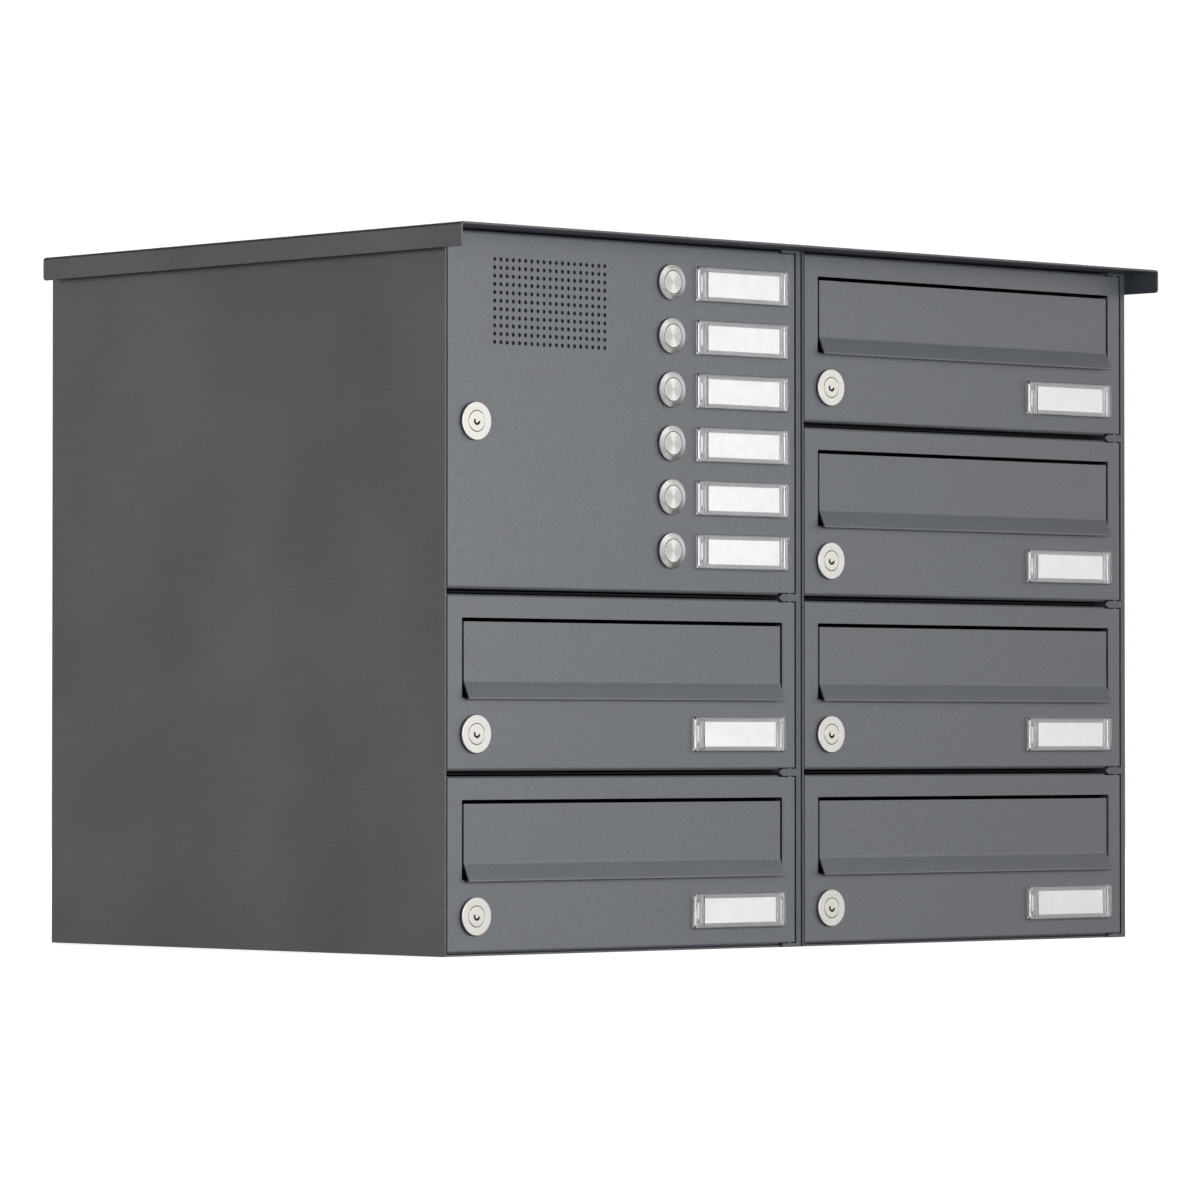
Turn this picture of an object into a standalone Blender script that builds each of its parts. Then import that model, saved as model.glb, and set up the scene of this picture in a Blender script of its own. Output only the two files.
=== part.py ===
"""Cluster mailbox unit: two sheet-steel columns under one roof, with six letterboxes and an intercom door.

The unit's front faces -Y, +X is to the right as seen from the front and +Z is up. The origin is the middle of
the bounding box, on the bottom. Each column has an empty at its lower left corner in the plane of the door
faces, and every piece of the column is placed from it: X to the right, Y to the rear, Z up.
"""

import math

import bmesh
import bpy
from mathutils import Matrix, Vector

MM = 0.001

# Driving dimensions: one letterbox is 300 x 110 x 385 mm.
COLUMN_PITCH = 300 * MM
ROW_PITCH = 110 * MM
DEPTH = 385 * MM
ROWS = 4
SHEET = 1.2 * MM
GAP = 0.3 * MM  # clearance between pieces that lie on each other

# Roof
ROOF_SHEET = 1.5 * MM
ROOF_FRONT_OVERHANG = 23 * MM
ROOF_SIDE_OVERHANG = 7 * MM
ROOF_FLANGE = 15 * MM
ROOF_BOTTOM = ROWS * ROW_PITCH - GAP
ROOF_TOP = ROOF_BOTTOM + ROOF_SHEET

# Housing of one column
COLUMN_GAP = 1.5 * MM
HOUSING_LEFT = COLUMN_GAP / 2
HOUSING_RIGHT = COLUMN_PITCH - COLUMN_GAP / 2
HOUSING_TOP = ROOF_BOTTOM - GAP
WALL_RECESS = 0.5 * MM  # from the door faces back to the walls' front edges
FLOOR_RECESS = 2.5 * MM
SHELF_RECESS = 13 * MM
LEFT_STOP_WIDTH = 9 * MM  # the flange that the lock cams catch behind
LEFT_STOP_Y = 12.5 * MM
HINGE_STRIP_LEFT = 295.3 * MM
WALL_HOLE_RADIUS = 3.25 * MM
WALL_HOLE_INSET = 30 * MM

# The joiner lies in the gap between the columns, with rivets through both side walls.
JOINER_Y = 365 * MM
JOINER_HALF_WIDTH = 10 * MM
JOINER_HALF_THICKNESS = COLUMN_GAP / 2 - GAP
JOINER_PAST_RIVETS = 15 * MM
RIVET_RADIUS = 2.5 * MM
RIVET_HEAD_RADIUS = 5 * MM
RIVET_HEAD = 1 * MM

# Cable hole and its blind rubber bush
CABLE_HOLE_RADIUS = 11 * MM
CABLE_HOLE = Vector((60 * MM, 0, 330 * MM))
GROMMET_CUP_RADIUS = 6 * MM
GROMMET_MEMBRANE = 1 * MM
GROMMET_FLANGE_RADIUS = 13 * MM
GROMMET_FLANGE = 2.5 * MM
GROMMET_RECESS = 0.1 * MM

# Hinge: one vertical rod a column, through an ear at every seam
HINGE_X = 291.6 * MM
HINGE_Y = 3 * MM
ROD_RADIUS = 1.25 * MM
ROD_HOLE_RADIUS = 1.65 * MM
ROD_SEAT = 0.9 * MM
EAR_LEFT = 280 * MM
EAR_POINT = 3 * MM
EAR_HALF_HEIGHT = 2.3 * MM
EAR_FRONT = 0.2 * MM
EAR_REAR = SHELF_RECESS + 2 * MM

# Doors
DOOR_LEFT = 2.4 * MM
DOOR_RIGHT = 294.6 * MM
SEAM_HALF = 1.5 * MM
DOOR_DEPTH = 12 * MM
BEND_RADIUS = 2.2 * MM
NOTCH_LEFT = EAR_LEFT - 0.5 * MM
NOTCH_HALF_HEIGHT = EAR_HALF_HEIGHT + 0.6 * MM
LUG_PAST_NOTCH = 2 * MM

# Mail slot and its flap
SLOT_LEFT, SLOT_RIGHT = 14 * MM, 282.5 * MM
SLOT_BOTTOM, SLOT_TOP = 46 * MM, 94.3 * MM
FLAP_SIDE_GAP = 0.8 * MM
FLAP_TOP_GAP = 2.4 * MM
FLAP_RECESS = 0.25 * MM
FLAP_BEND_Z = 56 * MM
LIP_BOTTOM_Z = 45.4 * MM
LIP_REACH = 5 * MM
FLAP_AXIS_Y, FLAP_AXIS_Z = 3.5 * MM, 89.3 * MM
FLAP_ARM_DEPTH = 7 * MM
FLAP_ARM_HEIGHT, FLAP_ARM_DROP = 6.4 * MM, 0.2 * MM
FLAP_PIN_RADIUS = 1.3 * MM
FLAP_PIN_HOLE_RADIUS = 1.7 * MM
FLAP_PIN_LENGTH = 4 * MM
FLAP_BEND_WIDTH = 0.8 * MM
PIN_PLATE_ABOVE, PIN_PLATE_BELOW = 4 * MM, 5 * MM  # the door's plates, about the flap's axis

# Locks
LOCK_X, LOCK_Z = 24 * MM, 24 * MM
INTERCOM_LOCK_Z = 103 * MM
ROSETTE_RADIUS = 11.65 * MM
ROSETTE_THICKNESS = 2 * MM
BARREL_RADIUS = 8.7 * MM
BARREL_END_Y = 14.4 * MM
PLUG_RADIUS = 6.3 * MM
CAM_Y = 15 * MM
CAM_THICKNESS = 1.6 * MM
CAM_WIDTH = 8 * MM
CAM_REACH = 17 * MM
PLUG_PROUD, PLUG_PAST_CAM = 0.1 * MM, 1 * MM
KEYWAY_HALF_WIDTH, KEYWAY_HALF_HEIGHT, KEYWAY_DEPTH = 0.7 * MM, 2.6 * MM, 3 * MM

# Name plates
PLATE_WIDTH, PLATE_HEIGHT, PLATE_THICKNESS = 78 * MM, 22 * MM, 2.7 * MM
PLATE_CHAMFER = 0.9 * MM
LABEL_WIDTH, LABEL_HEIGHT, LABEL_POCKET = 61 * MM, 16.6 * MM, 1 * MM
PLATE_X, PLATE_Z = 244 * MM, 24 * MM
CLIP_OFFSET, CLIP_WIDTH, CLIP_HEIGHT, CLIP_LENGTH = 35 * MM, 3 * MM, 6 * MM, 3.5 * MM

# Bell buttons and the intercom
BELLS = 6
BELL_X = 186 * MM
BELL_FIRST_Z = 27.7 * MM
BELL_PITCH = 33.35 * MM
BELL_PLATE_X = 247.2 * MM
BEZEL_RADIUS, BEZEL_FRONT_RADIUS, BEZEL_HEIGHT = 11.1 * MM, 8 * MM, 2.4 * MM
BEZEL_BARREL_RADIUS, BEZEL_BORE_RADIUS, BEZEL_END_Y = 9.3 * MM, 7.6 * MM, 16 * MM
BUTTON_RADIUS, BUTTON_PROUD, BUTTON_END_Y = 7.3 * MM, 0.5 * MM, 13 * MM
GRILLE_X, GRILLE_Z = 85.5 * MM, 176.6 * MM
SPEAKER_FRAME = Vector((104 * MM, 4 * MM, 62 * MM))
SPEAKER_RADIUS, SPEAKER_DEPTH = 26 * MM, 20 * MM
BOARD_Y, BOARD_THICKNESS, BOARD_WIDTH = 18 * MM, 1.6 * MM, 32 * MM
BOARD_PAST_BELLS = 12 * MM
TERMINAL = Vector((14 * MM, 8 * MM, 11 * MM))

# Letterboxes: name, column and row, with rows counted from the bottom.
LETTERBOXES = (
    ("l1", 0, 1), ("l2", 0, 0),
    ("r1", 1, 3), ("r2", 1, 2), ("r3", 1, 1), ("r4", 1, 0),
)
INTERCOM_ROW = 2
SIDES = ("left", "right")
SHELF_ROWS = {"left": (1, 2), "right": (1, 2, 3)}

# Finishes: colour, roughness, metallic
FINISHES = {
    "powder_coat": ((0.09, 0.10, 0.11), 0.5, 0.0),
    "roof_coat": ((0.07, 0.08, 0.09), 0.5, 0.0),
    "nickel": ((0.75, 0.73, 0.70), 0.3, 1.0),
    "stainless": ((0.62, 0.61, 0.59), 0.3, 1.0),
    "clear_plastic": ((0.85, 0.87, 0.88), 0.1, 0.0),
    "zinc": ((0.55, 0.56, 0.57), 0.4, 1.0),
    "black_plastic": ((0.02, 0.02, 0.02), 0.5, 0.0),
    "board": ((0.05, 0.20, 0.09), 0.5, 0.0),
    "rubber": ((0.02, 0.02, 0.02), 0.8, 0.0),
}


def clear_scene():
    for obj in list(bpy.data.objects):
        bpy.data.objects.remove(obj, do_unlink=True)


def finish(name):
    if name in bpy.data.materials:
        return bpy.data.materials[name]
    colour, roughness, metallic = FINISHES[name]
    material = bpy.data.materials.new(name)
    material.use_nodes = True
    shader = material.node_tree.nodes["Principled BSDF"]
    shader.inputs["Base Color"].default_value = (*colour, 1)
    shader.inputs["Roughness"].default_value = roughness
    shader.inputs["Metallic"].default_value = metallic
    return material


# Working meshes: each returns an object in the workshop collection, which is empty again at the end.


def work_object(bm, name="work"):
    bmesh.ops.recalc_face_normals(bm, faces=bm.faces)
    mesh = bpy.data.meshes.new(name)
    bm.to_mesh(mesh)
    bm.free()
    obj = bpy.data.objects.new(name, mesh)
    workshop.objects.link(obj)
    return obj


def add_box(bm, low, high):
    """A box between two corners, added to bm. Returns its vertices."""
    low, high = Vector(low), Vector(high)
    place = Matrix.Translation((low + high) / 2) @ Matrix.Diagonal((*(high - low), 1))
    return bmesh.ops.create_cube(bm, size=1, matrix=place)["verts"]


def box(low, high):
    bm = bmesh.new()
    add_box(bm, low, high)
    return work_object(bm)


def boxes(corners):
    """Several boxes that don't touch, as one cutter."""
    bm = bmesh.new()
    for low, high in corners:
        add_box(bm, low, high)
    return work_object(bm)


def cylinder(start, end, radius, sides=20):
    """A closed cylinder from start to end, which differ along one axis."""
    start, end = Vector(start), Vector(end)
    along = end - start
    turn = Vector((0, 0, 1)).rotation_difference(along).to_matrix().to_4x4()
    bm = bmesh.new()
    bmesh.ops.create_cone(
        bm, cap_ends=True, segments=sides, radius1=radius, radius2=radius, depth=along.length,
        matrix=Matrix.Translation((start + end) / 2) @ turn,
    )
    return work_object(bm)


def turned(profile, closed, sides=20):
    """A profile of (radius, y) turned about the Y axis; a closed profile makes a ring."""
    bm = bmesh.new()
    points = [bm.verts.new((radius, y, 0)) for radius, y in profile]
    edges = [bm.edges.new(pair) for pair in zip(points, points[1:])]
    if closed:
        edges.append(bm.edges.new((points[-1], points[0])))
    bmesh.ops.spin(
        bm, geom=points + edges, cent=(0, 0, 0), axis=(0, 1, 0), angle=math.tau, steps=sides,
        use_merge=True,
    )
    bmesh.ops.remove_doubles(bm, verts=bm.verts, dist=0.001 * MM)
    return work_object(bm)


def prism(outline, y_front, y_back):
    """An outline of (x, z) points, drawn out along Y."""
    bm = bmesh.new()
    face = bm.faces.new([bm.verts.new((x, y_front, z)) for x, z in outline])
    drawn = bmesh.ops.extrude_face_region(bm, geom=[face])["geom"]
    moved = [item for item in drawn if isinstance(item, bmesh.types.BMVert)]
    bmesh.ops.translate(bm, verts=moved, vec=(0, y_back - y_front, 0))
    return work_object(bm)


def evaluated_mesh(obj):
    bpy.context.view_layer.update()
    graph = bpy.context.evaluated_depsgraph_get()
    return bpy.data.meshes.new_from_object(obj.evaluated_get(graph))


def apply_modifiers(obj):
    mesh = evaluated_mesh(obj)
    obj.modifiers.clear()
    obj.data = mesh


def carve(obj, *tools, operation="DIFFERENCE"):
    """Booleans obj with each tool in turn, and uses the tools up."""
    for tool in tools:
        modifier = obj.modifiers.new("boolean", "BOOLEAN")
        modifier.operation = operation
        modifier.solver = "EXACT"
        modifier.object = tool
    apply_modifiers(obj)
    for tool in tools:
        bpy.data.objects.remove(tool, do_unlink=True)
    return obj


def join(obj, *pieces):
    return carve(obj, *pieces, operation="UNION")


def template(obj, pivot):
    """The finished mesh of a work object, moved so that its pivot is the mesh's origin."""
    mesh = obj.data
    mesh.transform(Matrix.Translation(-Vector(pivot)))
    mesh.shade_smooth()
    mesh.set_sharp_from_angle(angle=math.radians(35))
    bpy.data.objects.remove(obj, do_unlink=True)
    return mesh


def place(name, mesh, location, parent, material):
    """A part that shows mesh at location, counted from its parent."""
    obj = bpy.data.objects.new(name, mesh)
    obj.parent = parent
    obj.location = location
    if not mesh.materials:
        mesh.materials.append(finish(material))
    parts.objects.link(obj)
    return obj


# Pieces. Each function that ends in _mesh returns a mesh with its origin at the piece's own pivot.


def roof_mesh():
    """A flat sheet with a flange down each side, open at the front, with rounded flange corners."""
    half = COLUMN_PITCH + ROOF_SIDE_OVERHANG
    front, back = -ROOF_FRONT_OVERHANG, DEPTH
    bm = bmesh.new()
    add_box(bm, (-half, front, ROOF_TOP - ROOF_FLANGE), (half, back, ROOF_TOP))
    open_sides = [face for face in bm.faces if abs(face.normal.y) > 0.5 or face.normal.z < -0.5]
    bmesh.ops.delete(bm, geom=open_sides, context="FACES")
    top_edges = [edge for edge in bm.edges if len(edge.link_faces) == 2]
    bmesh.ops.bevel(
        bm, geom=top_edges, offset=BEND_RADIUS, segments=3, profile=0.5, affect="EDGES",
    )
    flange_corners = [vert for vert in bm.verts if vert.co.z < ROOF_TOP - ROOF_FLANGE / 2]
    bmesh.ops.bevel(
        bm, geom=flange_corners, offset=BEND_RADIUS, segments=3, profile=0.5, affect="VERTICES",
    )
    roof = work_object(bm)
    thickness = roof.modifiers.new("sheet", "SOLIDIFY")
    thickness.thickness = ROOF_SHEET
    thickness.offset = -1
    apply_modifiers(roof)
    return template(roof, (0, 0, 0))


def seam(row):
    return row * ROW_PITCH


def ear(row):
    """The hinge ear at a seam, pointed on its left; the ones at the ends are cut off by the housing."""
    z = seam(row)
    low = max(z - EAR_HALF_HEIGHT, 0)
    high = min(z + EAR_HALF_HEIGHT, HOUSING_TOP)
    outline = [(HOUSING_RIGHT - SHEET / 2, low), (HOUSING_RIGHT - SHEET / 2, high)]
    outline.append((EAR_LEFT + EAR_POINT, high))
    if low > 0 and high < HOUSING_TOP:
        outline.append((EAR_LEFT, z))
    outline.append((EAR_LEFT + EAR_POINT, low))
    return prism(outline, EAR_FRONT, EAR_REAR)


def housing_sheets(side):
    """A column's walls and shelves, with its door stop on the left and hinge ears on the right, as a work object."""
    inner_left, inner_right = HOUSING_LEFT + SHEET, HOUSING_RIGHT - SHEET
    housing = box((HOUSING_LEFT, WALL_RECESS, 0), (HOUSING_RIGHT, DEPTH, HOUSING_TOP))
    seams = [SHEET / 2, *(seam(row) for row in SHELF_ROWS[side]), HOUSING_TOP - SHEET / 2]
    compartments = [
        (
            (inner_left, -SHEET, low + SHEET / 2),
            (inner_right, DEPTH - SHEET, high - SHEET / 2),
        )
        for low, high in zip(seams, seams[1:])
    ]
    shelf_fronts = box(
        (inner_left, -SHEET, SHEET), (inner_right, SHELF_RECESS, HOUSING_TOP + SHEET)
    )
    floor_front = box((inner_left, -SHEET, -SHEET), (inner_right, FLOOR_RECESS, 2 * SHEET))
    carve(housing, boxes(compartments), shelf_fronts, floor_front)
    stop = box(
        (inner_left - SHEET / 2, LEFT_STOP_Y, SHEET / 2),
        (inner_left + LEFT_STOP_WIDTH, LEFT_STOP_Y + SHEET, HOUSING_TOP - SHEET / 2),
    )
    strip = box((HINGE_STRIP_LEFT, WALL_RECESS, 0), (HOUSING_RIGHT, WALL_RECESS + SHEET, HOUSING_TOP))
    join(housing, stop, strip)
    join(housing, *(ear(row) for row in (0, *SHELF_ROWS[side], ROWS)))
    rod_hole = cylinder(
        (HINGE_X, HINGE_Y, ROD_SEAT), (HINGE_X, HINGE_Y, ROOF_TOP), ROD_HOLE_RADIUS, sides=16
    )
    carve(housing, rod_hole)
    drill_back(housing)
    return housing


def drill_back(housing):
    """Four holes for wall screws."""
    for x in (WALL_HOLE_INSET, COLUMN_PITCH - WALL_HOLE_INSET):
        for z in (ROW_PITCH / 2, (ROWS - 0.5) * ROW_PITCH):
            hole = cylinder(
                (x, DEPTH - 5 * SHEET, z), (x, DEPTH + SHEET, z), WALL_HOLE_RADIUS, sides=12
            )
            carve(housing, hole)


def joiner_heights():
    return (1.5 * ROW_PITCH, 3.5 * ROW_PITCH)


def door_pan(height):
    """A sheet pan, open at the rear, with rounded bends."""
    bm = bmesh.new()
    add_box(bm, (DOOR_LEFT, 0, SEAM_HALF), (DOOR_RIGHT, DOOR_DEPTH, height - SEAM_HALF))
    rear = [face for face in bm.faces if face.normal.y > 0.5]
    bmesh.ops.delete(bm, geom=rear, context="FACES_ONLY")
    bends = [edge for edge in bm.edges if len(edge.link_faces) == 2]
    bmesh.ops.bevel(bm, geom=bends, offset=BEND_RADIUS, segments=2, profile=0.5, affect="EDGES")
    pan = work_object(bm)
    thickness = pan.modifiers.new("sheet", "SOLIDIFY")
    thickness.thickness = SHEET
    thickness.offset = -1
    apply_modifiers(pan)
    return pan


def hinge_corners(pan, height):
    """Steps the pan's right corners back round the housing's ears, and adds the lugs that turn on the rod."""
    past = 2 * DOOR_DEPTH
    notches = boxes((
        (
            (NOTCH_LEFT, -past, -past),
            (COLUMN_PITCH, past, NOTCH_HALF_HEIGHT),
        ),
        (
            (NOTCH_LEFT, -past, height - NOTCH_HALF_HEIGHT),
            (COLUMN_PITCH, past, height + past),
        ),
    ))
    carve(pan, notches)
    lug_left = NOTCH_LEFT - LUG_PAST_NOTCH
    lug_right = DOOR_RIGHT - SHEET / 2
    lug_inset = NOTCH_HALF_HEIGHT + GAP
    for low in (lug_inset, height - lug_inset - SHEET):
        join(pan, box((lug_left, SHEET / 2, low), (lug_right, DOOR_DEPTH - GAP, low + SHEET)))
    rod_hole = cylinder(
        (HINGE_X, HINGE_Y, -past), (HINGE_X, HINGE_Y, height + past), ROD_HOLE_RADIUS, sides=16
    )
    carve(pan, rod_hole)


def clip_slots(x, z):
    """Cutter for the two slots that a name plate's clips snap into."""
    half_width, half_height = CLIP_WIDTH / 2 + GAP, CLIP_HEIGHT / 2 + GAP
    return boxes([
        (
            (x + side * CLIP_OFFSET - half_width, -SHEET, z - half_height),
            (x + side * CLIP_OFFSET + half_width, 2 * SHEET, z + half_height),
        )
        for side in (-1, 1)
    ])


def door_hole(x, z, radius):
    return cylinder((x, -SHEET, z), (x, 2.5 * SHEET, z), radius, sides=18)


def letterbox_door_mesh():
    door = door_pan(ROW_PITCH)
    hinge_corners(door, ROW_PITCH)
    slot = box((SLOT_LEFT, -SHEET, SLOT_BOTTOM), (SLOT_RIGHT, 2 * SHEET, SLOT_TOP))
    carve(door, slot, door_hole(LOCK_X, LOCK_Z, BARREL_RADIUS + GAP), clip_slots(PLATE_X, PLATE_Z))
    for edge, out in ((SLOT_LEFT, -1), (SLOT_RIGHT, 1)):
        near, far = edge + out * FLAP_SIDE_GAP, edge + out * (FLAP_SIDE_GAP + SHEET)
        join(door, box(
            (min(near, far), SHEET / 2, FLAP_AXIS_Z - PIN_PLATE_BELOW),
            (max(near, far), FLAP_ARM_DEPTH, FLAP_AXIS_Z + PIN_PLATE_ABOVE),
        ))
    pin_holes = [
        cylinder(
            (edge - 3 * SHEET, FLAP_AXIS_Y, FLAP_AXIS_Z),
            (edge + 3 * SHEET, FLAP_AXIS_Y, FLAP_AXIS_Z), FLAP_PIN_HOLE_RADIUS, sides=12,
        )
        for edge in (SLOT_LEFT, SLOT_RIGHT)
    ]
    carve(door, *pin_holes)
    return template(door, (HINGE_X, HINGE_Y, 0))


def intercom_door_mesh():
    height = 2 * ROW_PITCH
    door = door_pan(height)
    hinge_corners(door, height)
    carve(door, door_hole(LOCK_X, INTERCOM_LOCK_Z, BARREL_RADIUS + GAP))
    for z in bell_heights():
        carve(door, door_hole(BELL_X, z, BEZEL_BARREL_RADIUS + GAP), clip_slots(BELL_PLATE_X, z))
    return template(door, (HINGE_X, HINGE_Y, 0))


def bell_heights():
    """From the lowest bell to the highest, above the door's lower seam."""
    return [BELL_FIRST_Z + BELL_PITCH * i for i in range(BELLS)]


def flap_mesh():
    """A plate with a lip bent forward at the bottom, an arm back at each end, and a pivot pin on each arm."""
    left, right = SLOT_LEFT + FLAP_SIDE_GAP, SLOT_RIGHT - FLAP_SIDE_GAP
    top = SLOT_TOP - FLAP_TOP_GAP
    bm = bmesh.new()
    profile = ((FLAP_RECESS, top), (FLAP_RECESS, FLAP_BEND_Z), (-LIP_REACH, LIP_BOTTOM_Z))
    rows = [[bm.verts.new((x, y, z)) for y, z in profile] for x in (left, right)]
    for i in range(len(profile) - 1):
        bm.faces.new((rows[0][i], rows[0][i + 1], rows[1][i + 1], rows[1][i]))
    bend = [edge for edge in bm.edges if len(edge.link_faces) == 2]
    bmesh.ops.bevel(bm, geom=bend, offset=FLAP_BEND_WIDTH, segments=2, profile=0.5, affect="EDGES")
    bmesh.ops.recalc_face_normals(bm, faces=bm.faces)
    if sum(face.normal.y for face in bm.faces) > 0:
        bmesh.ops.reverse_faces(bm, faces=bm.faces)
    mesh = bpy.data.meshes.new("flap")
    bm.to_mesh(mesh)
    bm.free()
    flap = bpy.data.objects.new("flap", mesh)
    workshop.objects.link(flap)
    thickness = flap.modifiers.new("sheet", "SOLIDIFY")
    thickness.thickness = SHEET
    thickness.offset = -1
    thickness.use_even_offset = True
    apply_modifiers(flap)
    for end, inward in ((left, 1), (right, -1)):
        arm_x = sorted((end, end + inward * SHEET))
        arm = box(
            (arm_x[0], FLAP_RECESS + SHEET / 2, top - FLAP_ARM_HEIGHT),
            (arm_x[1], FLAP_ARM_DEPTH, top - FLAP_ARM_DROP),
        )
        pin_start = end + inward * SHEET / 2
        pin = cylinder(
            (pin_start, FLAP_AXIS_Y, FLAP_AXIS_Z),
            (pin_start - inward * FLAP_PIN_LENGTH, FLAP_AXIS_Y, FLAP_AXIS_Z),
            FLAP_PIN_RADIUS, sides=12,
        )
        join(flap, arm)
        join(flap, pin)
    return template(flap, (COLUMN_PITCH / 2, FLAP_AXIS_Y, FLAP_AXIS_Z))


def lock_body_mesh():
    """The rosette and the barrel behind it, with the bore that the plug turns in."""
    bore = PLUG_RADIUS + GAP
    front = -GAP - ROSETTE_THICKNESS
    ring = turned(
        (
            (bore, front), (ROSETTE_RADIUS, front), (ROSETTE_RADIUS, -GAP),
            (BARREL_RADIUS, -GAP), (BARREL_RADIUS, BARREL_END_Y), (bore, BARREL_END_Y),
        ),
        closed=True, sides=24,
    )
    return template(ring, (0, 0, 0))


def lock_plug_mesh():
    """The turning plug with its keyway, and the cam on its rear end, which hangs down when unlocked."""
    front = -GAP - ROSETTE_THICKNESS - PLUG_PROUD
    end = CAM_Y + CAM_THICKNESS + PLUG_PAST_CAM
    plug = turned(((0, front), (PLUG_RADIUS, front), (PLUG_RADIUS, end), (0, end)), closed=False)
    keyway = box(
        (-KEYWAY_HALF_WIDTH, front - 1 * MM, -KEYWAY_HALF_HEIGHT),
        (KEYWAY_HALF_WIDTH, front + KEYWAY_DEPTH, KEYWAY_HALF_HEIGHT),
    )
    cam = box(
        (-CAM_WIDTH / 2, CAM_Y, -CAM_REACH), (CAM_WIDTH / 2, CAM_Y + CAM_THICKNESS, PLUG_RADIUS / 2)
    )
    carve(plug, keyway)
    join(plug, cam)
    return template(plug, (0, 0, 0))


def name_plate_mesh():
    """A clear cover with a pocket for the label behind it and a clip at each end."""
    half_width, half_height = PLATE_WIDTH / 2, PLATE_HEIGHT / 2
    bm = bmesh.new()
    add_box(bm, (-half_width, -GAP - PLATE_THICKNESS, -half_height), (half_width, -GAP, half_height))
    front_edges = [edge for edge in bm.edges if any(v.co.y < -2 * GAP for v in edge.verts)]
    bmesh.ops.bevel(bm, geom=front_edges, offset=PLATE_CHAMFER, segments=1, affect="EDGES")
    plate = work_object(bm)
    pocket = box(
        (-LABEL_WIDTH / 2, -GAP - LABEL_POCKET, -LABEL_HEIGHT / 2),
        (LABEL_WIDTH / 2, GAP, LABEL_HEIGHT / 2),
    )
    carve(plate, pocket)
    for side in (-1, 1):
        x = side * CLIP_OFFSET
        clip = box(
            (x - CLIP_WIDTH / 2, -GAP - 1 * MM, -CLIP_HEIGHT / 2),
            (x + CLIP_WIDTH / 2, CLIP_LENGTH, CLIP_HEIGHT / 2),
        )
        join(plate, clip)
    return template(plate, (0, 0, 0))


def bezel_mesh():
    """The bell button's conical collar and the sleeve behind it."""
    front = -GAP - BEZEL_HEIGHT
    ring = turned(
        (
            (BEZEL_BORE_RADIUS, front), (BEZEL_FRONT_RADIUS, front), (BEZEL_RADIUS, -GAP),
            (BEZEL_BARREL_RADIUS, -GAP), (BEZEL_BARREL_RADIUS, BEZEL_END_Y),
            (BEZEL_BORE_RADIUS, BEZEL_END_Y),
        ),
        closed=True, sides=24,
    )
    return template(ring, (0, 0, 0))


def button_mesh():
    front = -GAP - BEZEL_HEIGHT - BUTTON_PROUD
    button = turned(
        ((0, front), (BUTTON_RADIUS, front), (BUTTON_RADIUS, BUTTON_END_Y), (0, BUTTON_END_Y)),
        closed=False, sides=24,
    )
    return template(button, (0, 0, 0))


def speaker_mesh():
    """A frame behind the grille with the round speaker on its rear."""
    front = SHEET + GAP
    size = SPEAKER_FRAME
    frame = box((-size.x / 2, front, -size.z / 2), (size.x / 2, front + size.y, size.z / 2))
    can = cylinder((0, front + size.y / 2, 0), (0, front + SPEAKER_DEPTH, 0), SPEAKER_RADIUS, sides=32)
    join(frame, can)
    return template(frame, (0, 0, 0))


def terminal_board_mesh():
    """One board behind the buttons, with a terminal at each."""
    heights = bell_heights()
    half = BOARD_WIDTH / 2
    rear = BOARD_Y + BOARD_THICKNESS
    low, high = heights[0] - BOARD_PAST_BELLS, heights[-1] + BOARD_PAST_BELLS
    board = box((-half, BOARD_Y, low), (half, rear, high))
    for z in heights:
        join(board, box(
            (-TERMINAL.x / 2, rear - BOARD_THICKNESS / 2, z - TERMINAL.z / 2),
            (TERMINAL.x / 2, rear + TERMINAL.y, z + TERMINAL.z / 2),
        ))
    return template(board, (0, 0, 0))


def rod_mesh():
    bottom, top = ROD_SEAT + GAP, HOUSING_TOP
    return template(cylinder((0, 0, bottom), (0, 0, top), ROD_RADIUS, sides=16), (0, 0, 0))


def grommet_mesh():
    """A blind bush, flush with the back of the housing; the cable is pushed through its membrane."""
    inside, rear = DEPTH - SHEET - GAP, DEPTH - GROMMET_RECESS
    front = inside - GROMMET_FLANGE
    bush = turned(
        (
            (0, inside - GROMMET_MEMBRANE), (GROMMET_CUP_RADIUS, inside - GROMMET_MEMBRANE),
            (GROMMET_CUP_RADIUS, front), (GROMMET_FLANGE_RADIUS, front),
            (GROMMET_FLANGE_RADIUS, inside), (CABLE_HOLE_RADIUS - GAP, inside),
            (CABLE_HOLE_RADIUS - GAP, rear), (GROMMET_CUP_RADIUS, rear),
            (GROMMET_CUP_RADIUS, inside), (0, inside),
        ),
        closed=False,
    )
    return template(bush, (0, 0, 0))


def joiner_mesh():
    low, high = joiner_heights()
    joiner = box(
        (-JOINER_HALF_THICKNESS, -JOINER_HALF_WIDTH, low - JOINER_PAST_RIVETS),
        (JOINER_HALF_THICKNESS, JOINER_HALF_WIDTH, high + JOINER_PAST_RIVETS),
    )
    wall_inside = COLUMN_GAP / 2 + SHEET + GAP
    for z in (low, high):
        shank = cylinder((-wall_inside - GAP, 0, z), (wall_inside + GAP, 0, z), RIVET_RADIUS, sides=12)
        join(joiner, shank)
        for side in (-1, 1):
            head = cylinder(
                (side * wall_inside, 0, z), (side * (wall_inside + RIVET_HEAD), 0, z),
                RIVET_HEAD_RADIUS, sides=12,
            )
            join(joiner, head)
    return template(joiner, (0, 0, 0))


def drill_for_rivets(housing, wall_x):
    for z in joiner_heights():
        carve(housing, cylinder(
            (wall_x - 2 * SHEET, JOINER_Y, z), (wall_x + 2 * SHEET, JOINER_Y, z),
            RIVET_RADIUS + GAP, sides=12,
        ))


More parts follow.
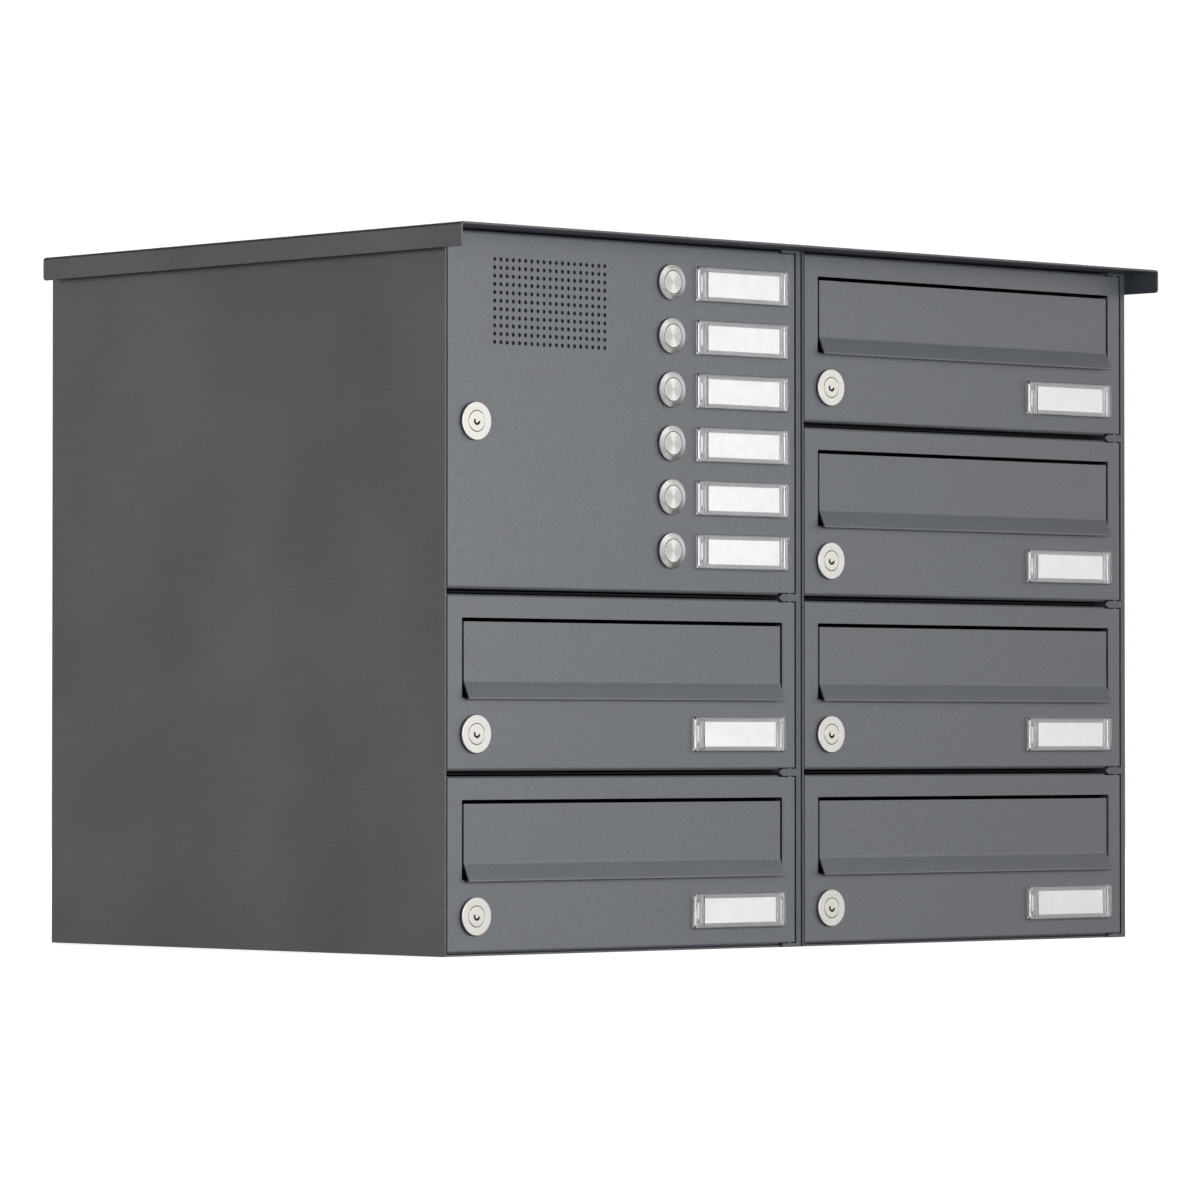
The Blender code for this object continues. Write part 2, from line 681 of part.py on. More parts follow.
def collection(name):
    made = bpy.data.collections.new(name)
    bpy.context.scene.collection.children.link(made)
    return made


def empty(name, location, parent=None):
    obj = bpy.data.objects.new(name, None)
    obj.location = location
    obj.parent = parent
    parts.objects.link(obj)
    return obj


def build_columns(unit):
    columns = []
    for i, side in enumerate(SIDES):
        column = empty(f"column_{side}", ((i - 1) * COLUMN_PITCH, 0, 0), unit)
        housing = housing_sheets(side)
        if side == "left":
            drill_for_rivets(housing, HOUSING_RIGHT - SHEET / 2)
            x, z = CABLE_HOLE.x, CABLE_HOLE.z
            carve(housing, cylinder(
                (x, DEPTH - 5 * SHEET, z), (x, DEPTH + SHEET, z), CABLE_HOLE_RADIUS, sides=24
            ))
        else:
            drill_for_rivets(housing, HOUSING_LEFT + SHEET / 2)
        place(f"housing_{side}", template(housing, (0, 0, 0)), (0, 0, 0), column, "powder_coat")
        place(f"hinge_rod_{side}", rod_mesh(), (HINGE_X, HINGE_Y, 0), column, "zinc")
        columns.append(column)
    return columns


def build_letterboxes(columns):
    door, flap, plate = letterbox_door_mesh(), flap_mesh(), name_plate_mesh()
    lock_body, lock_plug = lock_body_mesh(), lock_plug_mesh()
    for name, column, row in LETTERBOXES:
        z = seam(row)
        parent = columns[column]
        place(f"door_{name}", door, (HINGE_X, HINGE_Y, z), parent, "powder_coat")
        flap_axis = (COLUMN_PITCH / 2, FLAP_AXIS_Y, z + FLAP_AXIS_Z)
        place(f"flap_{name}", flap, flap_axis, parent, "powder_coat")
        place(f"lock_body_{name}", lock_body, (LOCK_X, 0, z + LOCK_Z), parent, "nickel")
        place(f"lock_plug_{name}", lock_plug, (LOCK_X, 0, z + LOCK_Z), parent, "nickel")
        place(f"name_plate_{name}", plate, (PLATE_X, 0, z + PLATE_Z), parent, "clear_plastic")
    return lock_body, lock_plug, plate


def build_intercom(column, lock_body, lock_plug, plate):
    z = seam(INTERCOM_ROW)
    lock = (LOCK_X, 0, z + INTERCOM_LOCK_Z)
    place("door_intercom", intercom_door_mesh(), (HINGE_X, HINGE_Y, z), column, "powder_coat")
    place("lock_body_intercom", lock_body, lock, column, "nickel")
    place("lock_plug_intercom", lock_plug, lock, column, "nickel")
    place("speaker_module", speaker_mesh(), (GRILLE_X, 0, z + GRILLE_Z), column, "black_plastic")
    place("bell_terminal_board", terminal_board_mesh(), (BELL_X, 0, z), column, "board")
    bezel, button = bezel_mesh(), button_mesh()
    for number, height in enumerate(reversed(bell_heights()), start=1):
        place(f"bell_bezel_{number}", bezel, (BELL_X, 0, z + height), column, "stainless")
        place(f"bell_button_{number}", button, (BELL_X, 0, z + height), column, "stainless")
        place(f"bell_plate_{number}", plate, (BELL_PLATE_X, 0, z + height), column, "clear_plastic")


def build():
    front = (ROOF_FRONT_OVERHANG - DEPTH) / 2
    unit = empty("cluster_mailbox", (0, front, 0))
    columns = build_columns(unit)
    place("roof", roof_mesh(), (0, 0, 0), unit, "roof_coat")
    place("column_joiner", joiner_mesh(), (0, JOINER_Y, 0), unit, "zinc")
    place("cable_grommet", grommet_mesh(), CABLE_HOLE, columns[0], "rubber")
    build_intercom(columns[0], *build_letterboxes(columns))


clear_scene()
parts = collection("cluster_mailbox_unit")
workshop = collection("workshop")
build()
bpy.data.collections.remove(workshop)
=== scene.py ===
"""Looks of the cluster mailbox unit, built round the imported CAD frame.

Lengths are metres. A column's pieces are placed from its lower left corner in the plane of the door faces:
X to the right, Y to the rear, Z up, as in the CAD model.
"""

import math

import bmesh
import bpy
from mathutils import Euler, Matrix, Vector


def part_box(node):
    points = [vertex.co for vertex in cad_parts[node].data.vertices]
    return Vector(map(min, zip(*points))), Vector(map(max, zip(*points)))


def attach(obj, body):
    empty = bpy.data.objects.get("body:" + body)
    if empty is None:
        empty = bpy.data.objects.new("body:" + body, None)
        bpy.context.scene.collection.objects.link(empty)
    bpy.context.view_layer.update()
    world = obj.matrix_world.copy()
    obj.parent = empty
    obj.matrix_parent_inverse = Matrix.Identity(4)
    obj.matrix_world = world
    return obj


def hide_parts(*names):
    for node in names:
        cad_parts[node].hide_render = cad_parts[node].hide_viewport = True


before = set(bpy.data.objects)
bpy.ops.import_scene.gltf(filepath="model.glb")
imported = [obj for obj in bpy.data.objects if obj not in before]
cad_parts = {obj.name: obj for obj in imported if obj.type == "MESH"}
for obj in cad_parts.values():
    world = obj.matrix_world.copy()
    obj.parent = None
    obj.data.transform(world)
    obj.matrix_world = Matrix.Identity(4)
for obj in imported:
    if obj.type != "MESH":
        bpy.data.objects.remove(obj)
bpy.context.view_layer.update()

MM = 0.001
SHEET = 1.2 * MM
GAP = 0.3 * MM
ROW_PITCH = 110 * MM
COLUMN_PITCH = 300 * MM

# Places read from the CAD frame
ROOF_LOW, ROOF_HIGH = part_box("roof")
DOOR_LOW, DOOR_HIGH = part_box("door_l2")
FRONT_Y = DOOR_LOW.y
COLUMN_X = {"l": -COLUMN_PITCH, "r": 0.0}

LETTERBOXES = (("l1", 1), ("l2", 0), ("r1", 3), ("r2", 2), ("r3", 1), ("r4", 0))
BELLS = range(1, 7)


def column_origin(name, row=0):
    """The lower left corner of a letterbox, in the plane of the door faces."""
    return Vector((COLUMN_X[name[0]], FRONT_Y, row * ROW_PITCH))


# ---------------------------------------------------------------------------------------------------------
# Materials
# ---------------------------------------------------------------------------------------------------------


class Nodes:
    """Short calls for building one material's node tree."""

    def __init__(self, name):
        self.material = bpy.data.materials.new(name)
        self.material.use_nodes = True
        self.tree = self.material.node_tree
        self.shader = self.tree.nodes["Principled BSDF"]

    def add(self, kind, **values):
        node = self.tree.nodes.new(kind)
        for key, value in values.items():
            setattr(node, key, value)
        return node

    def link(self, output, target):
        self.tree.links.new(output, target)

    def object_coordinates(self):
        """Object coordinates shifted by each object's own random number, so that copies differ."""
        coordinates = self.add("ShaderNodeTexCoord")
        info = self.add("ShaderNodeObjectInfo")
        shifted = self.add("ShaderNodeVectorMath", operation="ADD")
        self.link(coordinates.outputs["Object"], shifted.inputs[0])
        self.link(info.outputs["Random"], shifted.inputs[1])
        return shifted.outputs[0]

    def noise(self, vector, scale, detail=2.0, roughness=0.5):
        node = self.add("ShaderNodeTexNoise")
        node.inputs["Scale"].default_value = scale
        node.inputs["Detail"].default_value = detail
        node.inputs["Roughness"].default_value = roughness
        self.link(vector, node.inputs["Vector"])
        return node.outputs["Fac"]

    def remap(self, value, low, high, from_low=0.3, from_high=0.7):
        node = self.add("ShaderNodeMapRange")
        node.inputs["From Min"].default_value = from_low
        node.inputs["From Max"].default_value = from_high
        node.inputs["To Min"].default_value = low
        node.inputs["To Max"].default_value = high
        self.link(value, node.inputs["Value"])
        return node.outputs["Result"]

    def mix_colour(self, factor, first, second):
        node = self.add("ShaderNodeMix", data_type="RGBA")
        node.inputs["A"].default_value = (*first, 1)
        node.inputs["B"].default_value = (*second, 1)
        self.link(factor, node.inputs["Factor"])
        return node.outputs["Result"]

    def multiplied(self, colour, factor):
        node = self.add("ShaderNodeVectorMath", operation="SCALE")
        self.link(colour, node.inputs[0])
        self.link(factor, node.inputs["Scale"])
        return node.outputs[0]

    def bump(self, height, distance, strength):
        node = self.add("ShaderNodeBump")
        node.inputs["Distance"].default_value = distance
        node.inputs["Strength"].default_value = strength
        self.link(height, node.inputs["Height"])
        self.link(node.outputs["Normal"], self.shader.inputs["Normal"])

    def set(self, **values):
        """Sets sockets of the surface shader, with _ for each space in a socket's name."""
        for key, value in values.items():
            self.shader.inputs[key.replace("_", " ")].default_value = value


def scaled(colour, factor):
    return tuple(channel * factor for channel in colour)


# Noise scales of the powder coat, in cycles a metre
CLOUD_SCALE = 9
GRAIN_SCALE = 620
ROLLING_SCALE = 420
ROLLING_STRETCH = 0.05  # along Y, the way the housing's sheets were rolled


def powder_coat(name, colour, sheen, streaked=False):
    """Satin polyester powder: a fine pebbled skin, faint clouding and a slightly uneven gloss."""
    n = Nodes(name)
    at = n.object_coordinates()
    clouds = n.noise(at, CLOUD_SCALE, detail=4)
    grain = n.noise(at, GRAIN_SCALE, detail=3, roughness=0.6)
    tone = n.mix_colour(n.remap(clouds, 0, 1), scaled(colour, 0.95), scaled(colour, 1.06))
    tone = n.multiplied(tone, n.remap(grain, 0.84, 1.16))
    if streaked:
        stretched = n.add("ShaderNodeMapping")
        stretched.inputs["Scale"].default_value = (1, ROLLING_STRETCH, 1)
        n.link(at, stretched.inputs["Vector"])
        rolling = n.noise(stretched.outputs["Vector"], ROLLING_SCALE, detail=3, roughness=0.65)
        tone = n.multiplied(tone, n.remap(rolling, 0.90, 1.10))
    n.link(tone, n.shader.inputs["Base Color"])
    n.link(n.remap(clouds, 0.43, 0.50), n.shader.inputs["Roughness"])
    n.bump(grain, 0.10 * MM, 0.4)
    n.set(Specular_IOR_Level=sheen)
    return n.material


def turned_metal(name, colour, roughness, ring_pitch, anisotropy):
    """Metal turned about its own Y axis: fine rings, and a highlight drawn out across them."""
    n = Nodes(name)
    coordinates = n.add("ShaderNodeTexCoord").outputs["Object"]
    flat = n.add("ShaderNodeVectorMath", operation="MULTIPLY")
    flat.inputs[1].default_value = (1, 0, 1)
    n.link(coordinates, flat.inputs[0])
    radius = n.add("ShaderNodeVectorMath", operation="LENGTH")
    n.link(flat.outputs[0], radius.inputs[0])
    ring = n.add("ShaderNodeMath", operation="MULTIPLY")
    ring.inputs[1].default_value = math.tau / ring_pitch
    n.link(radius.outputs["Value"], ring.inputs[0])
    wave = n.add("ShaderNodeMath", operation="SINE")
    n.link(ring.outputs[0], wave.inputs[0])
    streaks = n.noise(coordinates, 700, detail=3)
    n.link(n.remap(streaks, roughness * 0.85, roughness * 1.15), n.shader.inputs["Roughness"])
    tone = n.mix_colour(n.remap(streaks, 0, 1), scaled(colour, 0.94), colour)
    n.link(tone, n.shader.inputs["Base Color"])
    n.bump(n.remap(wave.outputs[0], 0, 1, -1, 1), 0.004 * MM, 0.5)
    n.set(Metallic=1.0, Anisotropic=anisotropy)
    if anisotropy:
        tangent = n.add("ShaderNodeTangent", direction_type="RADIAL", axis="Y")
        n.link(tangent.outputs["Tangent"], n.shader.inputs["Tangent"])
    return n.material


def plain(name, colour, roughness, metallic=0.0, grain_scale=600, bump_height=0.03, sheen=0.5):
    """Moulded or plated surface with a fine grain; bump_height is in millimetres."""
    n = Nodes(name)
    grain = n.noise(n.object_coordinates(), grain_scale, detail=3)
    tone = n.mix_colour(n.remap(grain, 0, 1), scaled(colour, 0.92), scaled(colour, 1.06))
    n.link(tone, n.shader.inputs["Base Color"])
    n.link(n.remap(grain, roughness * 0.9, roughness * 1.1), n.shader.inputs["Roughness"])
    n.bump(grain, bump_height * MM, 0.4)
    n.set(Metallic=metallic, Specular_IOR_Level=sheen)
    return n.material


def clear_acrylic(name):
    """Clear moulded plastic: slightly rippled, so that what lies behind it wavers."""
    n = Nodes(name)
    at = n.object_coordinates()
    ripple = n.noise(at, 160, detail=1)
    n.bump(ripple, 0.15 * MM, 0.5)
    n.link(n.remap(ripple, 0.02, 0.07), n.shader.inputs["Roughness"])
    tone = n.mix_colour(n.remap(ripple, 0, 1), (0.93, 0.94, 0.95), (0.98, 0.98, 0.98))
    n.link(tone, n.shader.inputs["Base Color"])
    n.set(IOR=1.49, Transmission_Weight=1.0)
    return n.material


def paper(name):
    """Uncoated white label card."""
    n = Nodes(name)
    at = n.object_coordinates()
    fibres = n.noise(at, 900, detail=4)
    tone = n.mix_colour(n.remap(fibres, 0, 1), (0.74, 0.74, 0.74), (0.79, 0.79, 0.78))
    n.link(tone, n.shader.inputs["Base Color"])
    n.bump(fibres, 0.02 * MM, 0.3)
    n.set(Roughness=0.8)
    return n.material


POWDER = powder_coat("anthracite_powder", (0.077, 0.085, 0.098), 0.85)
# The housing and roof take darker, less glossy copies of the doors' coat: painted shade on the side faces
# and the roof
HOUSING_POWDER_SHADED = powder_coat(
    "anthracite_powder_housing_shaded", (0.062, 0.070, 0.084), 0.62, streaked=True
)
ROOF_POWDER_SHADED = powder_coat("anthracite_powder_roof_shaded", (0.057, 0.065, 0.078), 0.66)
NICKEL = turned_metal("satin_nickel", (0.56, 0.54, 0.51), 0.38, 0.25 * MM, 0.0)
STEEL = turned_metal("spun_stainless", (0.45, 0.435, 0.42), 0.30, 0.18 * MM, 0.8)
ACRYLIC = clear_acrylic("clear_acrylic")
TRAY = plain("label_tray_plastic", (0.20, 0.195, 0.205), 0.35, bump_height=0.02)
PAPER = paper("label_card")
# Painted shade at the bottom of the keyways
KEYWAY_SHADE_BLACK = plain("keyway_painted_shade", (0.02, 0.018, 0.016), 0.5)
ZINC = plain("zinc_plate", (0.55, 0.56, 0.58), 0.38, metallic=1.0, grain_scale=250)
ROD_STEEL = plain("browned_steel", (0.16, 0.16, 0.17), 0.4, metallic=1.0, grain_scale=250)
BLACK = plain("black_moulding", (0.02, 0.02, 0.022), 0.45)
BOARD = plain("solder_mask", (0.02, 0.13, 0.06), 0.35, grain_scale=300)
# Also the rings under the collars, whose black is partly painted shade
RUBBER = plain("black_rubber", (0.02, 0.02, 0.02), 0.75)
# Painted shade for the strips in the seams: near black, with little gloss
SHADE_BLACK = plain("painted_shade_black", (0.010, 0.010, 0.011), 0.9, sheen=0.1)

# ---------------------------------------------------------------------------------------------------------
# Mesh tools
# ---------------------------------------------------------------------------------------------------------


def add_box(bm, low, high):
    low = Vector(low)
    high = Vector(high)
    at = Matrix.Translation((low + high) / 2) @ Matrix.Diagonal((*(high - low), 1))
    return bmesh.ops.create_cube(bm, size=1, matrix=at)["verts"]


def work_object(bm):
    """A working mesh, to be cut, joined and bevelled before it becomes a piece."""
    bmesh.ops.recalc_face_normals(bm, faces=bm.faces)
    mesh = bpy.data.meshes.new("work")
    bm.to_mesh(mesh)
    bm.free()
    obj = bpy.data.objects.new("work", mesh)
    bpy.context.scene.collection.objects.link(obj)
    return obj


def box(low, high):
    bm = bmesh.new()
    add_box(bm, low, high)
    return work_object(bm)


def rounded_box(low, high, radius, segments=3, axis=None):
    """A box with rounded edges, or with only the edges along one axis rounded."""
    bm = bmesh.new()
    add_box(bm, low, high)
    edges = bm.edges[:]
    if axis is not None:
        edges = [e for e in edges if abs((e.verts[0].co - e.verts[1].co).normalized()[axis]) > 0.9]
    bmesh.ops.bevel(bm, geom=edges, offset=radius, segments=segments, profile=0.5, affect="EDGES")
    return work_object(bm)


def rod(start, end, radius, sides=24):
    start = Vector(start)
    end = Vector(end)
    along = end - start
    turn = Vector((0, 0, 1)).rotation_difference(along).to_matrix().to_4x4()
    bm = bmesh.new()
    bmesh.ops.create_cone(
        bm, cap_ends=True, segments=sides, radius1=radius, radius2=radius, depth=along.length,
        matrix=Matrix.Translation((start + end) / 2) @ turn,
    )
    return work_object(bm)


def turned(profile, closed, sides=64):
    """A profile of (radius, y) turned about the Y axis; a closed profile makes a ring."""
    bm = bmesh.new()
    points = [bm.verts.new((radius, y, 0)) for radius, y in profile]
    edges = [bm.edges.new(pair) for pair in zip(points, points[1:])]
    if closed:
        edges.append(bm.edges.new((points[-1], points[0])))
    bmesh.ops.spin(
        bm, geom=points + edges, cent=(0, 0, 0), axis=(0, 1, 0), angle=math.tau, steps=sides,
        use_merge=True,
    )
    bmesh.ops.remove_doubles(bm, verts=bm.verts, dist=0.0005 * MM)
    return work_object(bm)


def evaluated_mesh(obj):
    bpy.context.view_layer.update()
    graph = bpy.context.evaluated_depsgraph_get()
    return bpy.data.meshes.new_from_object(obj.evaluated_get(graph))


def apply_modifiers(obj):
    mesh = evaluated_mesh(obj)
    obj.modifiers.clear()
    obj.data = mesh
    return obj


def boolean(obj, tools, operation):
    for tool in tools:
        modifier = obj.modifiers.new("boolean", "BOOLEAN")
        modifier.operation = operation
        modifier.object = tool
    apply_modifiers(obj)
    for tool in tools:
        bpy.data.objects.remove(tool, do_unlink=True)
    return obj


def cut(obj, *tools):
    return boolean(obj, tools, "DIFFERENCE")


def join(obj, *tools):
    return boolean(obj, tools, "UNION")


def bevelled(obj, width, segments=2, angle=40):
    modifier = obj.modifiers.new("bevel", "BEVEL")
    modifier.width = width
    modifier.segments = segments
    modifier.limit_method = "ANGLE"
    modifier.angle_limit = math.radians(angle)
    modifier.use_clamp_overlap = True
    return apply_modifiers(obj)


def finished_mesh(obj, material, angle=32):
    """The work object's mesh, smooth where it is round, ready for any number of pieces."""
    mesh = obj.data
    mesh.shade_smooth()
    mesh.set_sharp_from_angle(angle=math.radians(angle))
    mesh.materials.clear()
    mesh.materials.append(material)
    bpy.data.objects.remove(obj, do_unlink=True)
    return mesh


def piece(name, mesh, location, body, *replaced):
    """Puts a finished mesh in place on its CAD body."""
    obj = bpy.data.objects.new(name, mesh)
    obj.location = location
    bpy.context.scene.collection.objects.link(obj)
    weighted = obj.modifiers.new("weighted_normals", "WEIGHTED_NORMAL")
    weighted.keep_sharp = True
    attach(obj, body)
    if replaced:
        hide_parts(*replaced)
    return obj


# ---------------------------------------------------------------------------------------------------------
# Roof
# ---------------------------------------------------------------------------------------------------------

ROOF_SHEET = 1.5 * MM
ROOF_BEND = 2.2 * MM
ROOF_EDGE = 0.3 * MM


def build_roof():
    bm = bmesh.new()
    add_box(bm, ROOF_LOW, ROOF_HIGH)
    open_sides = [f for f in bm.faces if abs(f.normal.y) > 0.5 or f.normal.z < -0.5]
    bmesh.ops.delete(bm, geom=open_sides, context="FACES")
    bends = [e for e in bm.edges if len(e.link_faces) == 2]
    bmesh.ops.bevel(bm, geom=bends, offset=ROOF_BEND, segments=6, profile=0.5, affect="EDGES")
    middle = (ROOF_LOW.z + ROOF_HIGH.z) / 2
    corners = [v for v in bm.verts if v.co.z < middle]
    bmesh.ops.bevel(bm, geom=corners, offset=ROOF_BEND, segments=5, profile=0.5, affect="VERTICES")
    roof = work_object(bm)
    sheet = roof.modifiers.new("sheet", "SOLIDIFY")
    sheet.thickness = ROOF_SHEET
    sheet.offset = -1
    apply_modifiers(roof)
    bevelled(roof, ROOF_EDGE)
    piece("roof_sheet", finished_mesh(roof, ROOF_POWDER_SHADED), (0, 0, 0), "housing", "roof")


# ---------------------------------------------------------------------------------------------------------
# Doors
# ---------------------------------------------------------------------------------------------------------

# The folded sheet; the left edge reaches a little nearer to the side wall than its solid does
LEFT_EDGE_REACH = 0.15 * MM
DOOR_LEFT = DOOR_LOW.x - COLUMN_X["l"] - LEFT_EDGE_REACH
DOOR_RIGHT = DOOR_HIGH.x - COLUMN_X["l"]
DOOR_DEPTH = DOOR_HIGH.y - DOOR_LOW.y
SEAM_HALF = DOOR_LOW.z
BEND_RADIUS = 2.2 * MM
CORNER_RADIUS = 0.5 * MM
DOOR_EDGE = 0.25 * MM

# Hinge rod, and the notches round the housing's ears
HINGE_X = 291.6 * MM
HINGE_Y = 3 * MM
ROD_HOLE_RADIUS = 1.65 * MM
NOTCH_LEFT = 279.5 * MM
NOTCH_HALF_HEIGHT = 2.9 * MM

# Mail slot, and the lugs that carry the flap
SLOT_LEFT = 14 * MM
SLOT_RIGHT = 282.5 * MM
SLOT_BOTTOM = 46 * MM
SLOT_TOP = 94.3 * MM
SLOT_CORNER = 0.8 * MM
FLAP_AXIS_Y = 3.5 * MM
FLAP_AXIS_Z = 89.3 * MM
FLAP_ARM_DEPTH = 7 * MM
LUG_GAP = 0.8 * MM
LUG_BELOW = 5 * MM
LUG_ABOVE = 4 * MM
PIN_HOLE_RADIUS = 1.7 * MM

# Lock and name plate
LOCK_X = 24 * MM
LOCK_Z = 24 * MM
INTERCOM_LOCK_Z = 103 * MM
LOCK_HOLE_RADIUS = 9 * MM
PLATE_X = 244 * MM
PLATE_Z = 24 * MM
CLIP_OFFSET = 35 * MM
CLIP_WIDTH = 3 * MM
CLIP_HEIGHT = 6 * MM
CLIP_LENGTH = 3.5 * MM

# Bell buttons and their name plates
BELL_X = 186 * MM
BELL_PLATE_X = 247.2 * MM
BELL_FIRST_Z = 27.7 * MM
BELL_PITCH = 33.35 * MM
BELL_HOLE_RADIUS = 9.6 * MM

# Speaker grille
GRILLE_X = 85.5 * MM
GRILLE_Z = 176.6 * MM
GRILLE_COLUMNS = 19
GRILLE_ROWS = 11
GRILLE_PITCH = 5.03 * MM
GRILLE_HOLE = 1.3 * MM


def door_pan(height):
    """The folded sheet pan: rounded bends, the left one tighter, and notches round the hinge ears."""
    bm = bmesh.new()
    add_box(bm, (DOOR_LEFT, 0, SEAM_HALF), (DOOR_RIGHT, DOOR_DEPTH, height - SEAM_HALF))
    rear = [f for f in bm.faces if f.normal.y > 0.5]
    bmesh.ops.delete(bm, geom=rear, context="FACES_ONLY")
    bends = [e for e in bm.edges if len(e.link_faces) == 2]
    bmesh.ops.bevel(bm, geom=bends, offset=BEND_RADIUS, segments=6, profile=0.5, affect="EDGES")
    for vert in bm.verts:
        past_bend = DOOR_LEFT + BEND_RADIUS - vert.co.x
        if past_bend > 0:
            vert.co.x = DOOR_LEFT + (BEND_RADIUS - past_bend) * CORNER_RADIUS / BEND_RADIUS
    pan = work_object(bm)
    sheet = pan.modifiers.new("sheet", "SOLIDIFY")
    sheet.thickness = SHEET
    sheet.offset = -1
    apply_modifiers(pan)
    clear = 2 * DOOR_DEPTH
    for low, high in (
        (-clear, NOTCH_HALF_HEIGHT), (height - NOTCH_HALF_HEIGHT, height + clear),
    ):
        cut(pan, box((NOTCH_LEFT, -clear, low), (COLUMN_PITCH, clear, high)))
    lug_inset = NOTCH_HALF_HEIGHT + GAP
    for low in (lug_inset, height - lug_inset - SHEET):
        join(pan, box(
            (NOTCH_LEFT - 2 * MM, SHEET / 2, low),
            (DOOR_RIGHT - SHEET / 2, DOOR_DEPTH - GAP, low + SHEET),
        ))
    cut(pan, rod(
        (HINGE_X, HINGE_Y, -clear), (HINGE_X, HINGE_Y, height + clear), ROD_HOLE_RADIUS
    ))
    return pan


def through_hole(x, z, radius, sides=48):
    return rod((x, -SHEET, z), (x, 2.5 * SHEET, z), radius, sides)


def clip_slots(x, z):
    half_width = CLIP_WIDTH / 2 + GAP
    half_height = CLIP_HEIGHT / 2 + GAP
    return [
        box(
            (x + side * CLIP_OFFSET - half_width, -SHEET, z - half_height),
            (x + side * CLIP_OFFSET + half_width, 2 * SHEET, z + half_height),
        )
        for side in (-1, 1)
    ]


def letterbox_door_mesh():
    """The door with its slot, and a lug with a pin hole beside each end of the slot."""
    door = door_pan(ROW_PITCH)
    slot = rounded_box(
        (SLOT_LEFT, -SHEET, SLOT_BOTTOM), (SLOT_RIGHT, 2 * SHEET, SLOT_TOP), SLOT_CORNER, 3, axis=1
    )
    lock_hole = through_hole(LOCK_X, LOCK_Z, LOCK_HOLE_RADIUS)
    cut(door, slot, lock_hole, *clip_slots(PLATE_X, PLATE_Z))
    for edge, out in ((SLOT_LEFT, -1), (SLOT_RIGHT, 1)):
        near, far = sorted((edge + out * LUG_GAP, edge + out * (LUG_GAP + SHEET)))
        join(door, box(
            (near, SHEET / 2, FLAP_AXIS_Z - LUG_BELOW),
            (far, FLAP_ARM_DEPTH, FLAP_AXIS_Z + LUG_ABOVE),
        ))
        cut(door, rod(
            (edge - 3 * MM, FLAP_AXIS_Y, FLAP_AXIS_Z), (edge + 3 * MM, FLAP_AXIS_Y, FLAP_AXIS_Z),
            PIN_HOLE_RADIUS,
        ))
    bevelled(door, DOOR_EDGE)
    return finished_mesh(door, POWDER)


def grille_holes():
    """Every perforation of the speaker grille, as one cutter."""
    bm = bmesh.new()
    turn = Matrix.Rotation(math.pi / 2, 4, "X")
    for column in range(GRILLE_COLUMNS):
        for row in range(GRILLE_ROWS):
            x = GRILLE_X + (column - (GRILLE_COLUMNS - 1) / 2) * GRILLE_PITCH
            z = GRILLE_Z + (row - (GRILLE_ROWS - 1) / 2) * GRILLE_PITCH
            bmesh.ops.create_cone(
                bm, cap_ends=True, segments=14, radius1=GRILLE_HOLE, radius2=GRILLE_HOLE,
                depth=4 * SHEET, matrix=Matrix.Translation((x, 0, z)) @ turn,
            )
    return work_object(bm)


def bell_heights():
    """Above the intercom door's lower seam, from the lowest up."""
    return [BELL_FIRST_Z + BELL_PITCH * i for i in range(len(BELLS))]


def intercom_door_mesh():
    door = door_pan(2 * ROW_PITCH)
    cut(door, through_hole(LOCK_X, INTERCOM_LOCK_Z, LOCK_HOLE_RADIUS))
    for z in bell_heights():
        cut(door, through_hole(BELL_X, z, BELL_HOLE_RADIUS), *clip_slots(BELL_PLATE_X, z))
    bevelled(door, DOOR_EDGE)
    cut(door, grille_holes())
    return finished_mesh(door, POWDER)


# ---------------------------------------------------------------------------------------------------------
# Flaps
# ---------------------------------------------------------------------------------------------------------

FLAP_SIDE_GAP = 1.7 * MM
FLAP_TOP = 91.9 * MM
FLAP_RECESS = 0.25 * MM
FLAP_BEND_Z = 56 * MM
LIP_BOTTOM_Z = 45.4 * MM
LIP_REACH = 5 * MM
LIP_TRIM = 0.45 * MM
FLAP_BEND_WIDTH = 1 * MM
FLAP_EDGE = 0.15 * MM
ARM_BOTTOM_Z = FLAP_TOP - 6.4 * MM
ARM_TOP_Z = FLAP_TOP - 0.2 * MM
PIN_LENGTH = 5 * MM
PIN_RADIUS = 1.3 * MM


